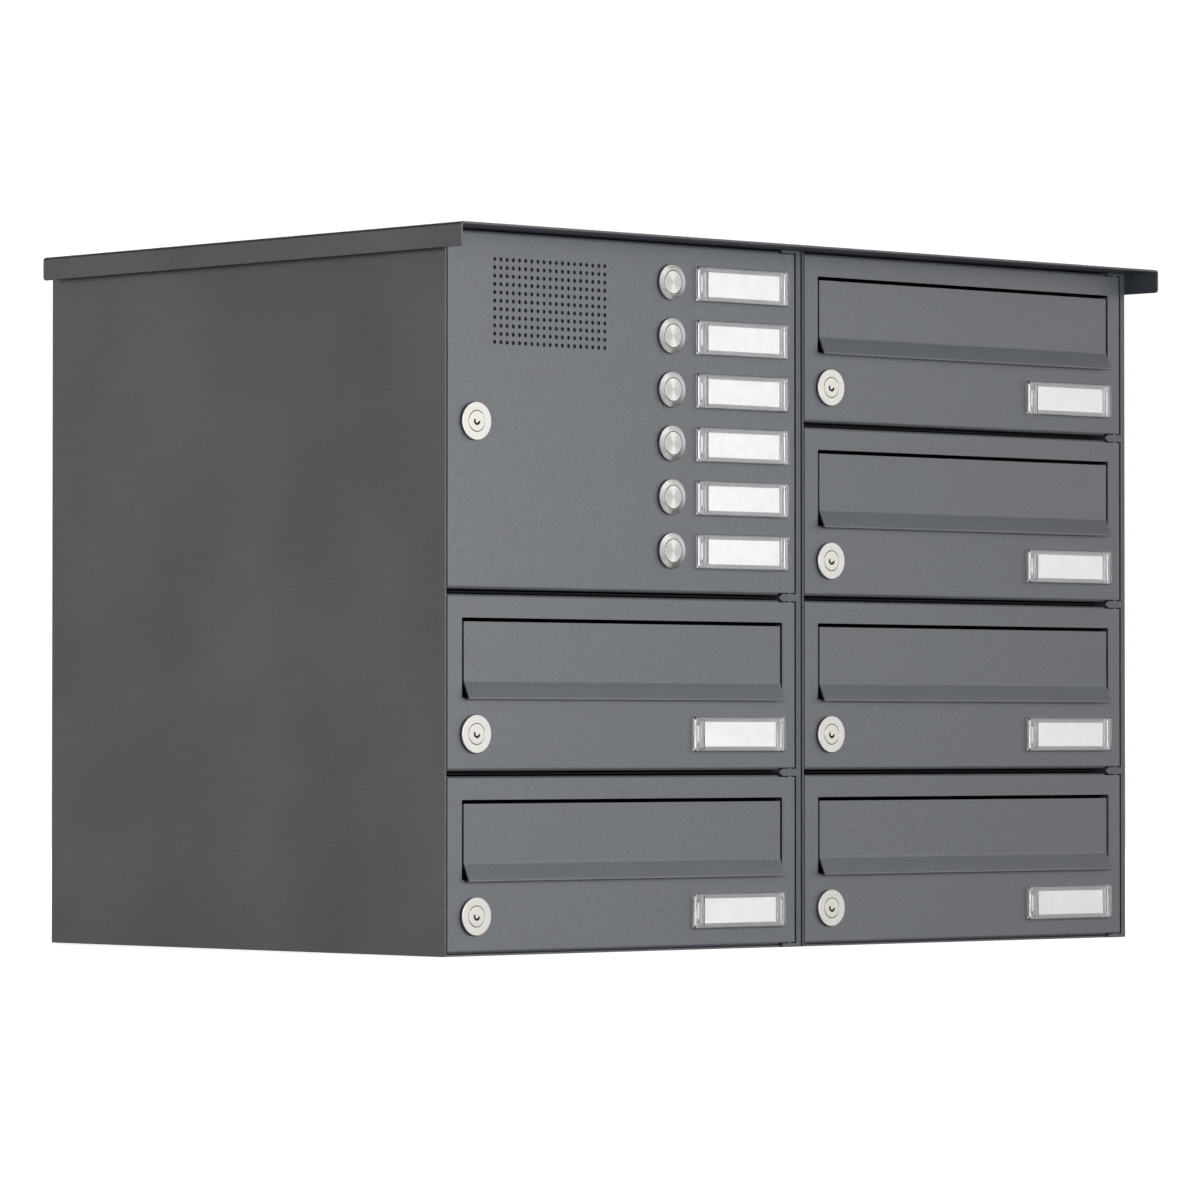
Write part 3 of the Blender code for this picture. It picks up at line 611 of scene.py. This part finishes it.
def flap_mesh():
    """A plate whose lower edge is bent forward as a grip, with an arm and a pivot pin at each end."""
    left = SLOT_LEFT + FLAP_SIDE_GAP
    right = SLOT_RIGHT - FLAP_SIDE_GAP
    profile = ((FLAP_RECESS, FLAP_TOP), (FLAP_RECESS, FLAP_BEND_Z), (-LIP_REACH, LIP_BOTTOM_Z))
    bm = bmesh.new()
    rows = [[bm.verts.new((x, y, z)) for y, z in profile] for x in (left, right)]
    for i in range(len(profile) - 1):
        bm.faces.new((rows[0][i], rows[0][i + 1], rows[1][i + 1], rows[1][i]))
    bend = [e for e in bm.edges if len(e.link_faces) == 2]
    bmesh.ops.bevel(
        bm, geom=bend, offset=FLAP_BEND_WIDTH, segments=6, profile=0.5, affect="EDGES"
    )
    bmesh.ops.recalc_face_normals(bm, faces=bm.faces)
    if sum(face.normal.y for face in bm.faces) > 0:
        bmesh.ops.reverse_faces(bm, faces=bm.faces)
    mesh = bpy.data.meshes.new("flap")
    bm.to_mesh(mesh)
    bm.free()
    flap = bpy.data.objects.new("flap", mesh)
    bpy.context.scene.collection.objects.link(flap)
    sheet = flap.modifiers.new("sheet", "SOLIDIFY")
    sheet.thickness = SHEET
    sheet.offset = -1
    sheet.use_even_offset = True
    apply_modifiers(flap)
    cut(flap, box(
        (left - MM, -2 * LIP_REACH, 0), (right + MM, LIP_TRIM - LIP_REACH, FLAP_BEND_Z)
    ))
    for end, inward in ((left, 1), (right, -1)):
        arm_low, arm_high = sorted((end, end + inward * SHEET))
        join(flap, box(
            (arm_low, FLAP_RECESS + SHEET / 2, ARM_BOTTOM_Z),
            (arm_high, FLAP_ARM_DEPTH, ARM_TOP_Z),
        ))
        pin_start = end + inward * SHEET / 2
        join(flap, rod(
            (pin_start, FLAP_AXIS_Y, FLAP_AXIS_Z),
            (pin_start - inward * PIN_LENGTH, FLAP_AXIS_Y, FLAP_AXIS_Z), PIN_RADIUS,
        ))
    bevelled(flap, FLAP_EDGE)
    return finished_mesh(flap, POWDER)


# ---------------------------------------------------------------------------------------------------------
# Locks
# ---------------------------------------------------------------------------------------------------------

# Rosette and barrel
ROSETTE_RADIUS = 11.65 * MM
ROSETTE_FRONT = -2.3 * MM
ROSETTE_EDGE = 0.35 * MM
BARREL_RADIUS = 8.7 * MM
BARREL_END = 14.4 * MM
THREAD_STEP = 0.5 * MM

# Core, keyway and cam
PLUG_RADIUS = 6.3 * MM
PLUG_FRONT = -2.4 * MM
PLUG_CLEARANCE = 0.22 * MM
PLUG_EDGE = 0.25 * MM
KEYWAY_RADIUS = 2.6 * MM
KEY_PIN_RADIUS = 1.15 * MM
KEYWAY_END = 1.5 * MM
KEYWAY_CUT_FROM = -7 * MM
# The near-black disc in the keyway is painted shade
SHADE_DISC_THICKNESS = 1.1 * MM
SHADE_DISC_RADIUS = KEYWAY_RADIUS + 0.2 * MM
CAM_Y = 15 * MM
CAM_THICKNESS = 1.6 * MM
CAM_WIDTH = 8 * MM
CAM_REACH = 17 * MM
CAM_CORNER = 1.5 * MM
CAM_END = CAM_Y + CAM_THICKNESS + 1 * MM

# Rubber ring and nut; the black ring is also painted shade, darkening the foot of a rosette or bezel where
# its side falls in shade
GASKET_THICKNESS = 1.0 * MM
GASKET_RIM = 0.15 * MM
GASKET_MARGIN = 0.1 * MM
NUT_RADIUS = 12.6 * MM
NUT_THICKNESS = 3.5 * MM
NUT_CHAMFER = 1.2 * MM


def arc(centre, radius, start, end, steps):
    """Points of (radius, y) round an arc, with angles in degrees from +radius towards +y."""
    angles = [math.radians(start + (end - start) * i / steps) for i in range(steps + 1)]
    return [(centre[0] + radius * math.cos(a), centre[1] + radius * math.sin(a)) for a in angles]


def thread(radius, depth, start, count):
    """The zigzag profile of an outside thread."""
    return [(radius - (depth if i % 2 else 0), start + THREAD_STEP * i) for i in range(count)]


def lock_body_mesh():
    """The rosette on the door's face, and the threaded barrel through it."""
    bore = PLUG_RADIUS + PLUG_CLEARANCE
    shoulder = (ROSETTE_RADIUS - ROSETTE_EDGE, ROSETTE_FRONT + ROSETTE_EDGE)
    lip_radius = 0.2 * MM
    lip = (bore + lip_radius, ROSETTE_FRONT + lip_radius)
    profile = (
        arc(lip, lip_radius, 180, 270, steps=3)
        + arc(shoulder, ROSETTE_EDGE, -90, 0, steps=6)
        + [(ROSETTE_RADIUS, -GASKET_THICKNESS), (BARREL_RADIUS, -GASKET_THICKNESS)]
        + thread(BARREL_RADIUS, depth=0.35 * MM, start=1.2 * MM, count=26)
        + [(BARREL_RADIUS, BARREL_END), (bore, BARREL_END)]
    )
    return finished_mesh(turned(profile, closed=True, sides=96), NICKEL)


def keyway_cutter():
    """A U-shaped groove round a pin: a ring, open at the top."""
    wide = 2 * KEYWAY_RADIUS
    end = 2 * KEYWAY_END
    return cut(
        rod((0, KEYWAY_CUT_FROM + MM, 0), (0, KEYWAY_END, 0), KEYWAY_RADIUS, sides=48),
        rod((0, KEYWAY_CUT_FROM, 0), (0, end, 0), KEY_PIN_RADIUS, sides=32),
        box((-KEY_PIN_RADIUS, KEYWAY_CUT_FROM, 0), (wide, end, wide)),
        box((-wide, KEYWAY_CUT_FROM, KEY_PIN_RADIUS), (0, end, wide)),
    )


def lock_plug_mesh():
    """The core: a flat face with the keyway, and the cam behind."""
    rim = (PLUG_RADIUS - PLUG_EDGE, PLUG_FRONT + PLUG_EDGE)
    profile = (
        [(0, PLUG_FRONT), (3.5 * MM, PLUG_FRONT)]
        + arc(rim, PLUG_EDGE, -90, 0, steps=3)
        + [(PLUG_RADIUS, CAM_END), (0, CAM_END)]
    )
    plug = turned(profile, closed=False, sides=72)
    cut(plug, keyway_cutter())
    cam = rounded_box(
        (-CAM_WIDTH / 2, CAM_Y, -CAM_REACH),
        (CAM_WIDTH / 2, CAM_Y + CAM_THICKNESS, PLUG_RADIUS / 2), CAM_CORNER, 3, axis=1,
    )
    join(plug, cam)
    return finished_mesh(plug, NICKEL)


def keyway_shade_disc_mesh():
    """Painted shade: a near-black disc at the bottom of the shallow keyway, standing in for the shade deep
    in a keyway.
    """
    rear = KEYWAY_END - 0.1 * MM
    front = rear - SHADE_DISC_THICKNESS
    shade_disc = turned(
        ((0, front), (SHADE_DISC_RADIUS, front), (SHADE_DISC_RADIUS, rear), (0, rear)), closed=False, sides=32
    )
    return finished_mesh(shade_disc, KEYWAY_SHADE_BLACK)


def gasket_shade_mesh(collar_radius, stem_radius):
    """The rubber ring between a collar and the door's face; its black also stands in for the shade on the
    collar's side, as painted shade.
    """
    outer = collar_radius - GASKET_MARGIN
    inner = stem_radius + GASKET_MARGIN
    rear = -0.02 * MM
    profile = (
        (outer - GASKET_RIM, GASKET_RIM - GASKET_THICKNESS),
        (outer, 2 * GASKET_RIM - GASKET_THICKNESS), (outer, rear),
        (inner, rear), (inner, GASKET_RIM - GASKET_THICKNESS),
    )
    return finished_mesh(turned(profile, closed=True, sides=72), RUBBER)


def nut_mesh():
    """A thin hexagon nut behind the door, chamfered at the corners."""
    bm = bmesh.new()
    turn = Matrix.Rotation(math.pi / 2, 4, "X")
    front = SHEET + GAP
    back = front + NUT_THICKNESS
    bmesh.ops.create_cone(
        bm, cap_ends=True, segments=6, radius1=NUT_RADIUS, radius2=NUT_RADIUS, depth=NUT_THICKNESS,
        matrix=Matrix.Translation((0, (front + back) / 2, 0)) @ turn,
    )
    nut = work_object(bm)
    flat = 10.8 * MM
    corner = 12.9 * MM
    outside = 14 * MM
    chamfer = turned(
        (
            (flat, back + 0.1 * MM), (corner, back - NUT_CHAMFER), (outside, back - NUT_CHAMFER),
            (outside, back + 0.1 * MM),
        ),
        closed=True,
    )
    cut(nut, chamfer, rod((0, 0, 0), (0, 10 * MM, 0), BARREL_RADIUS + 0.05 * MM, 64))
    return finished_mesh(nut, ZINC)


# ---------------------------------------------------------------------------------------------------------
# Name plates
# ---------------------------------------------------------------------------------------------------------

# Clear cover; its grooves are RIB_OFFSETS from the middle
PLATE_WIDTH = 78 * MM
PLATE_HEIGHT = 22 * MM
PLATE_THICKNESS = 2.7 * MM
COVER_CORNER = 1.2 * MM
COVER_BEVEL = 0.7 * MM
RIB_OFFSETS = (31.9 * MM, 34.4 * MM)
RIB_HALF = 0.35 * MM
RIB_DEPTH = 0.5 * MM
RIB_FROM_EDGE = 1.8 * MM

# Tray, with its windows and peg hole
TRAY_WIDTH = 75.4 * MM
TRAY_HEIGHT = 19.4 * MM
TRAY_THICKNESS = 0.8 * MM
TRAY_FRONT = -GAP - TRAY_THICKNESS
TRAY_EDGE = 0.12 * MM
WINDOW_INSET = 0.9 * MM
WINDOW_WIDTH = 0.9 * MM
WINDOW_HEIGHT = 1.8 * MM
WINDOW_FROM_EDGE = 3.2 * MM
PEG_HOLE_X = 35.6 * MM
PEG_HOLE_Z = 7.2 * MM
PEG_HOLE_RADIUS = 1.1 * MM

# Card, and the pale tab beside it
LABEL_WIDTH = 61 * MM
LABEL_HEIGHT = 15.4 * MM
LABEL_THICKNESS = 0.35 * MM
CARD_GAP = 0.02 * MM
BAR_X = -36 * MM
BAR_WIDTH = 1.3 * MM
BAR_HEIGHT = 10 * MM


def pocket(width, height, front, radius):
    """Cutter for a hollow in the back of a cover."""
    return rounded_box(
        (-width / 2, front, -height / 2), (width / 2, PLATE_THICKNESS, height / 2), radius, 3,
        axis=1,
    )


def plate_cover_mesh():
    """The clear cover: bevelled edges, hollows for the tray and the label, and two grooves at each end."""
    front = -GAP - PLATE_THICKNESS
    back = -GAP
    half_width = PLATE_WIDTH / 2
    half_height = PLATE_HEIGHT / 2
    bm = bmesh.new()
    add_box(bm, (-half_width, front, -half_height), (half_width, back, half_height))
    upright = [e for e in bm.edges if abs(e.verts[0].co.y - e.verts[1].co.y) > 1 * MM]
    bmesh.ops.bevel(bm, geom=upright, offset=COVER_CORNER, segments=4, profile=0.5, affect="EDGES")
    rim = [e for e in bm.edges if all(v.co.y < front + 0.1 * MM for v in e.verts)]
    bmesh.ops.bevel(bm, geom=rim, offset=COVER_BEVEL, segments=3, profile=0.5, affect="EDGES")
    cover = work_object(bm)
    cut(
        cover,
        pocket(TRAY_WIDTH + 2 * GAP, TRAY_HEIGHT + 2 * GAP, TRAY_FRONT - 0.05 * MM, 0.8 * MM),
        pocket(LABEL_WIDTH + 2 * GAP, LABEL_HEIGHT + 2 * GAP, TRAY_FRONT - 0.5 * MM, 0.2 * MM),
    )
    for side in (-1, 1):
        for offset in RIB_OFFSETS:
            x = side * offset
            cut(cover, rounded_box(
                (x - RIB_HALF, front - 1 * MM, RIB_FROM_EDGE - half_height),
                (x + RIB_HALF, front + RIB_DEPTH, half_height - RIB_FROM_EDGE), 0.25 * MM, 3,
            ))
    return finished_mesh(cover, ACRYLIC)


def tray_mesh():
    """The frosted plate behind the label, with a clip at each end, two small windows and a peg hole."""
    tray = rounded_box(
        (-TRAY_WIDTH / 2, TRAY_FRONT, -TRAY_HEIGHT / 2), (TRAY_WIDTH / 2, -GAP, TRAY_HEIGHT / 2),
        0.7 * MM, 3, axis=1,
    )
    for side in (-1, 1):
        x = side * CLIP_OFFSET
        z = side * (TRAY_HEIGHT / 2 - WINDOW_FROM_EDGE)
        join(tray, box(
            (x - CLIP_WIDTH / 2, -GAP - TRAY_THICKNESS / 2, -CLIP_HEIGHT / 2),
            (x + CLIP_WIDTH / 2, CLIP_LENGTH, CLIP_HEIGHT / 2),
        ))
        window_left = -TRAY_WIDTH / 2 + WINDOW_INSET
        cut(tray, box(
            (window_left, -PLATE_THICKNESS, z - WINDOW_HEIGHT / 2),
            (window_left + WINDOW_WIDTH, MM, z + WINDOW_HEIGHT / 2),
        ))
    cut(tray, rod(
        (PEG_HOLE_X, -PLATE_THICKNESS, PEG_HOLE_Z), (PEG_HOLE_X, MM, PEG_HOLE_Z), PEG_HOLE_RADIUS
    ))
    bevelled(tray, TRAY_EDGE, segments=1)
    return finished_mesh(tray, TRAY)


def label_mesh():
    """The card, and the pale tab beside it."""
    rear = TRAY_FRONT - CARD_GAP
    card = rounded_box(
        (-LABEL_WIDTH / 2, rear - LABEL_THICKNESS, -LABEL_HEIGHT / 2),
        (LABEL_WIDTH / 2, rear, LABEL_HEIGHT / 2), 0.08 * MM, 1,
    )
    join(card, box(
        (BAR_X - BAR_WIDTH / 2, rear - 0.02 * MM, -BAR_HEIGHT / 2),
        (BAR_X + BAR_WIDTH / 2, rear, BAR_HEIGHT / 2),
    ))
    return finished_mesh(card, PAPER)


# ---------------------------------------------------------------------------------------------------------
# Bell buttons
# ---------------------------------------------------------------------------------------------------------

BEZEL_RADIUS = 11.1 * MM
BEZEL_FRONT_RADIUS = 7.9 * MM
BEZEL_BORE = 7.5 * MM
BEZEL_FRONT = -2.8 * MM
BEZEL_SLOPE = 0.7 * MM
BEZEL_EDGE = 0.15 * MM
SLEEVE_RADIUS = 9.3 * MM
SLEEVE_END = 16 * MM
BUTTON_RADIUS = 7.3 * MM
BUTTON_FRONT = -2.9 * MM
BUTTON_END = 13 * MM
BUTTON_EDGE = 0.35 * MM


def bezel_mesh():
    """The flat cone round a button, with its threaded sleeve."""
    profile = (
        [(BEZEL_BORE, BEZEL_FRONT + 0.3 * MM), (BEZEL_BORE + 0.1 * MM, BEZEL_FRONT)]
        + [(BEZEL_FRONT_RADIUS, BEZEL_FRONT)]
        + [(BEZEL_RADIUS - BEZEL_EDGE, BEZEL_FRONT + BEZEL_SLOPE)]
        + [(BEZEL_RADIUS, BEZEL_FRONT + BEZEL_SLOPE + BEZEL_EDGE)]
        + [(BEZEL_RADIUS, -GASKET_THICKNESS), (SLEEVE_RADIUS, -GASKET_THICKNESS)]
        + thread(SLEEVE_RADIUS, depth=0.3 * MM, start=1.4 * MM, count=28)
        + [(SLEEVE_RADIUS, SLEEVE_END), (BEZEL_BORE, SLEEVE_END)]
    )
    return finished_mesh(turned(profile, closed=True, sides=96), STEEL)


def button_mesh():
    rim = (BUTTON_RADIUS - BUTTON_EDGE, BUTTON_FRONT + BUTTON_EDGE)
    profile = (
        [(0, BUTTON_FRONT), (BUTTON_RADIUS - BUTTON_EDGE, BUTTON_FRONT)]
        + arc(rim, BUTTON_EDGE, -90, 0, steps=4)[1:]
        + [(BUTTON_RADIUS, BUTTON_END), (0, BUTTON_END)]
    )
    return finished_mesh(turned(profile, closed=False, sides=96), STEEL)


# ---------------------------------------------------------------------------------------------------------
# Assembly
# ---------------------------------------------------------------------------------------------------------

# Black strips on the shelves' front edges, and in the gap between the columns: painted shade, dark sheets
# that stand in for the shade deep in the seams
SHADE_STRIP_LEFT = 2.3 * MM
SHADE_STRIP_RIGHT = 278 * MM
SHADE_STRIP_FRONT = 7 * MM
SHADE_STRIP_REAR = 12.3 * MM
COLUMN_SHADE_HALF = 0.6 * MM
COLUMN_SHADE_FRONT = 0.8 * MM
COLUMN_SHADE_REAR = 6 * MM
COLUMN_SHADE_BOTTOM = 1 * MM
COLUMN_SHADE_TOP = 4 * ROW_PITCH - 5 * MM
SHELF_ROWS = {"l": (1, 2), "r": (1, 2, 3)}


def build_lock(name, location, meshes):
    body, plug, shade_disc, shade_gasket, nut = meshes
    piece(f"lock_rosette_{name}", body, location, f"door_{name}", f"lock_body_{name}")
    piece(f"lock_core_{name}", plug, location, f"lock_plug_{name}", f"lock_plug_{name}")
    piece(f"lock_keyway_{name}", shade_disc, location, f"lock_plug_{name}")
    piece(f"lock_gasket_{name}", shade_gasket, location, f"door_{name}")
    piece(f"lock_nut_{name}", nut, location, f"door_{name}")


def build_plate(name, location, body, node, meshes):
    cover, tray, label = meshes
    piece(f"{name}_cover", cover, location, body, node)
    piece(f"{name}_tray", tray, location, body)
    piece(f"{name}_label", label, location, body)


def build_fronts():
    lock_meshes = (
        lock_body_mesh(), lock_plug_mesh(), keyway_shade_disc_mesh(),
        gasket_shade_mesh(ROSETTE_RADIUS, BARREL_RADIUS), nut_mesh(),
    )
    plate_meshes = plate_cover_mesh(), tray_mesh(), label_mesh()
    door = letterbox_door_mesh()
    flap = flap_mesh()
    for name, row in LETTERBOXES:
        at = column_origin(name, row)
        piece(f"door_sheet_{name}", door, at, f"door_{name}", f"door_{name}")
        piece(f"flap_sheet_{name}", flap, at, f"flap_{name}", f"flap_{name}")
        build_lock(name, at + Vector((LOCK_X, 0, LOCK_Z)), lock_meshes)
        plate_at = at + Vector((PLATE_X, 0, PLATE_Z))
        build_plate(f"name_{name}", plate_at, f"door_{name}", f"name_plate_{name}", plate_meshes)
    at = column_origin("l", 2)
    piece("door_sheet_intercom", intercom_door_mesh(), at, "door_intercom", "door_intercom")
    build_lock("intercom", at + Vector((LOCK_X, 0, INTERCOM_LOCK_Z)), lock_meshes)
    bezel = bezel_mesh()
    button = button_mesh()
    # Black ring under each bezel: a rubber ring, and painted shade round its foot
    shade_gasket = gasket_shade_mesh(BEZEL_RADIUS, SLEEVE_RADIUS)
    for number, height in zip(BELLS, reversed(bell_heights())):
        button_at = at + Vector((BELL_X, 0, height))
        piece(f"bell_collar_{number}", bezel, button_at, "door_intercom", f"bell_bezel_{number}")
        piece(f"bell_gasket_{number}", shade_gasket, button_at, "door_intercom")
        piece(
            f"bell_plunger_{number}", button, button_at,
            f"bell_button_{number}", f"bell_button_{number}",
        )
        plate_at = at + Vector((BELL_PLATE_X, 0, height))
        build_plate(
            f"bell_{number}", plate_at, "door_intercom", f"bell_plate_{number}", plate_meshes
        )


def build_shade_strips():
    """Painted shade: black strips on the shelves' front edges, and one down the gap between the columns,
    that keep the seams dark.
    """
    for side, rows in SHELF_ROWS.items():
        for row in rows:
            strip = rounded_box(
                (SHADE_STRIP_LEFT, SHADE_STRIP_FRONT, -SHEET / 2), (SHADE_STRIP_RIGHT, SHADE_STRIP_REAR, SHEET / 2), 0.3 * MM, 2
            )
            at = column_origin(side, row)
            piece(f"shelf_seal_{side}_{row}", finished_mesh(strip, SHADE_BLACK), at, "housing")
    column_strip = rounded_box(
        (-COLUMN_SHADE_HALF, COLUMN_SHADE_FRONT, COLUMN_SHADE_BOTTOM),
        (COLUMN_SHADE_HALF, COLUMN_SHADE_REAR, COLUMN_SHADE_TOP), 0.2 * MM, 2,
    )
    piece("column_seal", finished_mesh(column_strip, SHADE_BLACK), column_origin("r"), "housing")


def dress_cad_node(name, material, edge=0.0):
    """Gives a CAD node its finish, and rounds its sharp edges a little."""
    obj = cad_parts[name]
    obj.data.materials.clear()
    obj.data.materials.append(material)
    if edge:
        weld = obj.modifiers.new("weld", "WELD")
        weld.merge_threshold = 0.01 * MM
        bevel = obj.modifiers.new("bevel", "BEVEL")
        bevel.width = edge
        bevel.segments = 2
        bevel.limit_method = "ANGLE"
        bevel.angle_limit = math.radians(50)


def dress_cad_nodes():
    for side in ("left", "right"):
        dress_cad_node(f"housing_{side}", HOUSING_POWDER_SHADED, 0.15 * MM)
        dress_cad_node(f"hinge_rod_{side}", ROD_STEEL)
    dress_cad_node("column_joiner", ZINC)
    dress_cad_node("speaker_module", BLACK, 0.4 * MM)
    dress_cad_node("bell_terminal_board", BOARD)
    dress_cad_node("cable_grommet", RUBBER)


# ---------------------------------------------------------------------------------------------------------
# Stage
# ---------------------------------------------------------------------------------------------------------

# Camera: yaw to the right of +Y and pitch upwards in degrees, lens and sensor in millimetres
CAMERA_AT = Vector((-2.892, -3.147, 0.131))
CAMERA_YAW = 42.51
CAMERA_PITCH = 1.215
CAMERA_LENS = 196.6
CAMERA_SENSOR = 36.0

# Area lights: name, place, point aimed at, width and height, watts
LIGHTS = (
    ("key", (-0.3, -1.25, 0.19), (-0.25, -0.18, 0.21), (0.5, 0.7), 13.2),
    ("fill", (-2.4, 1.8, 0.3), (-0.3, 0.0, 0.22), (2.0, 1.5), 22),
    ("rear_fill", (2.0, 2.2, 1.7), (0.0, 0.1, 0.2), (2.0, 1.5), 60),
)

# The studio's plain light: its level all round, and the shares of it that are left below the horizon and
# overhead, each with the heights (sine of the elevation) between which it fades
WORLD_LEVEL = 0.35
WORLD_BELOW = 0.14
WORLD_BELOW_FADE = (-0.12, -0.02)
WORLD_ZENITH = 0.3
WORLD_ZENITH_FADE = (0.1, 0.7)

# Its glows: direction, the cosine from it where each starts and is full, added strength
WORLD_GLOWS = (
    ((0.67, 0.74, 0.0), 0.3, 0.9, 0.75),
    ((0.64, -0.77, 0.0), 0.55, 1.0, 1.6),
)


def build_camera():
    data = bpy.data.cameras.new("camera")
    data.lens = CAMERA_LENS
    data.sensor_width = CAMERA_SENSOR
    camera = bpy.data.objects.new("camera", data)
    camera.location = CAMERA_AT
    camera.rotation_euler = Euler((math.radians(90 + CAMERA_PITCH), 0, math.radians(-CAMERA_YAW)))
    bpy.context.scene.collection.objects.link(camera)
    bpy.context.scene.camera = camera


def area_light(name, location, target, size, power):
    data = bpy.data.lights.new(name, "AREA")
    data.shape = "RECTANGLE"
    data.size, data.size_y = size
    data.energy = power
    light = bpy.data.objects.new(name, data)
    light.location = location
    aim = Vector(target) - Vector(location)
    light.rotation_euler = aim.to_track_quat("-Z", "Y").to_euler()
    bpy.context.scene.collection.objects.link(light)


def build_world():
    """A white studio: brightest behind the unit and off to the front right, and dim below the horizon."""
    world = bpy.data.worlds.new("studio")
    bpy.context.scene.world = world
    world.use_nodes = True
    tree = world.node_tree
    direction = tree.nodes.new("ShaderNodeTexCoord").outputs["Generated"]

    def ramp(toward, start, end, low, high):
        """From low to high as the cosine between a direction and toward goes from start to end."""
        facing = tree.nodes.new("ShaderNodeVectorMath")
        facing.operation = "DOT_PRODUCT"
        facing.inputs[1].default_value = toward
        tree.links.new(direction, facing.inputs[0])
        glow = tree.nodes.new("ShaderNodeMapRange")
        glow.interpolation_type = "SMOOTHSTEP"
        glow.inputs["From Min"].default_value = start
        glow.inputs["From Max"].default_value = end
        glow.inputs["To Min"].default_value = low
        glow.inputs["To Max"].default_value = high
        tree.links.new(facing.outputs["Value"], glow.inputs["Value"])
        return glow.outputs["Result"]

    def combined(operation, first, second):
        node = tree.nodes.new("ShaderNodeMath")
        node.operation = operation
        tree.links.new(first, node.inputs[0])
        tree.links.new(second, node.inputs[1])
        return node.outputs[0]

    level = tree.nodes.new("ShaderNodeValue")
    level.outputs[0].default_value = WORLD_LEVEL
    total = level.outputs[0]
    for toward, start, end, strength in WORLD_GLOWS:
        total = combined("ADD", total, ramp(toward, start, end, 0, strength))
    up = (0, 0, 1)
    total = combined("MULTIPLY", total, ramp(up, *WORLD_BELOW_FADE, WORLD_BELOW, 1))
    total = combined("MULTIPLY", total, ramp(up, *WORLD_ZENITH_FADE, 1, WORLD_ZENITH))
    background = tree.nodes["Background"]
    background.inputs["Color"].default_value = (1, 1, 1, 1)
    tree.links.new(total, background.inputs["Strength"])


FLOOR_GLOW = 0.76
FLOOR_HALF_SIZE = 30
FLOOR_DROP = 0.2 * MM


def build_floor():
    """A plain pale floor that fades into the white background."""
    n = Nodes("pale_floor")
    speck = n.noise(n.add("ShaderNodeTexCoord").outputs["Object"], 40, detail=2)
    tone = n.mix_colour(speck, (0.90, 0.90, 0.90), (0.93, 0.93, 0.93))
    n.link(tone, n.shader.inputs["Base Color"])
    n.set(Roughness=0.9, Emission_Color=(1, 1, 1, 1), Emission_Strength=FLOOR_GLOW)
    bm = bmesh.new()
    bmesh.ops.create_grid(bm, x_segments=1, y_segments=1, size=FLOOR_HALF_SIZE)
    mesh = bpy.data.meshes.new("floor")
    bm.to_mesh(mesh)
    bm.free()
    mesh.materials.append(n.material)
    floor = bpy.data.objects.new("floor", mesh)
    floor.location.z = -FLOOR_DROP
    # It shows, with the unit's shadow on it, but throws no light up: the undersides stay dark.
    floor.visible_diffuse = False
    floor.visible_glossy = False
    bpy.context.scene.collection.objects.link(floor)


bpy.context.scene.view_settings.view_transform = "Standard"
build_camera()
build_roof()
build_fronts()
build_shade_strips()
dress_cad_nodes()
for light in LIGHTS:
    area_light(*light)
build_world()
build_floor()
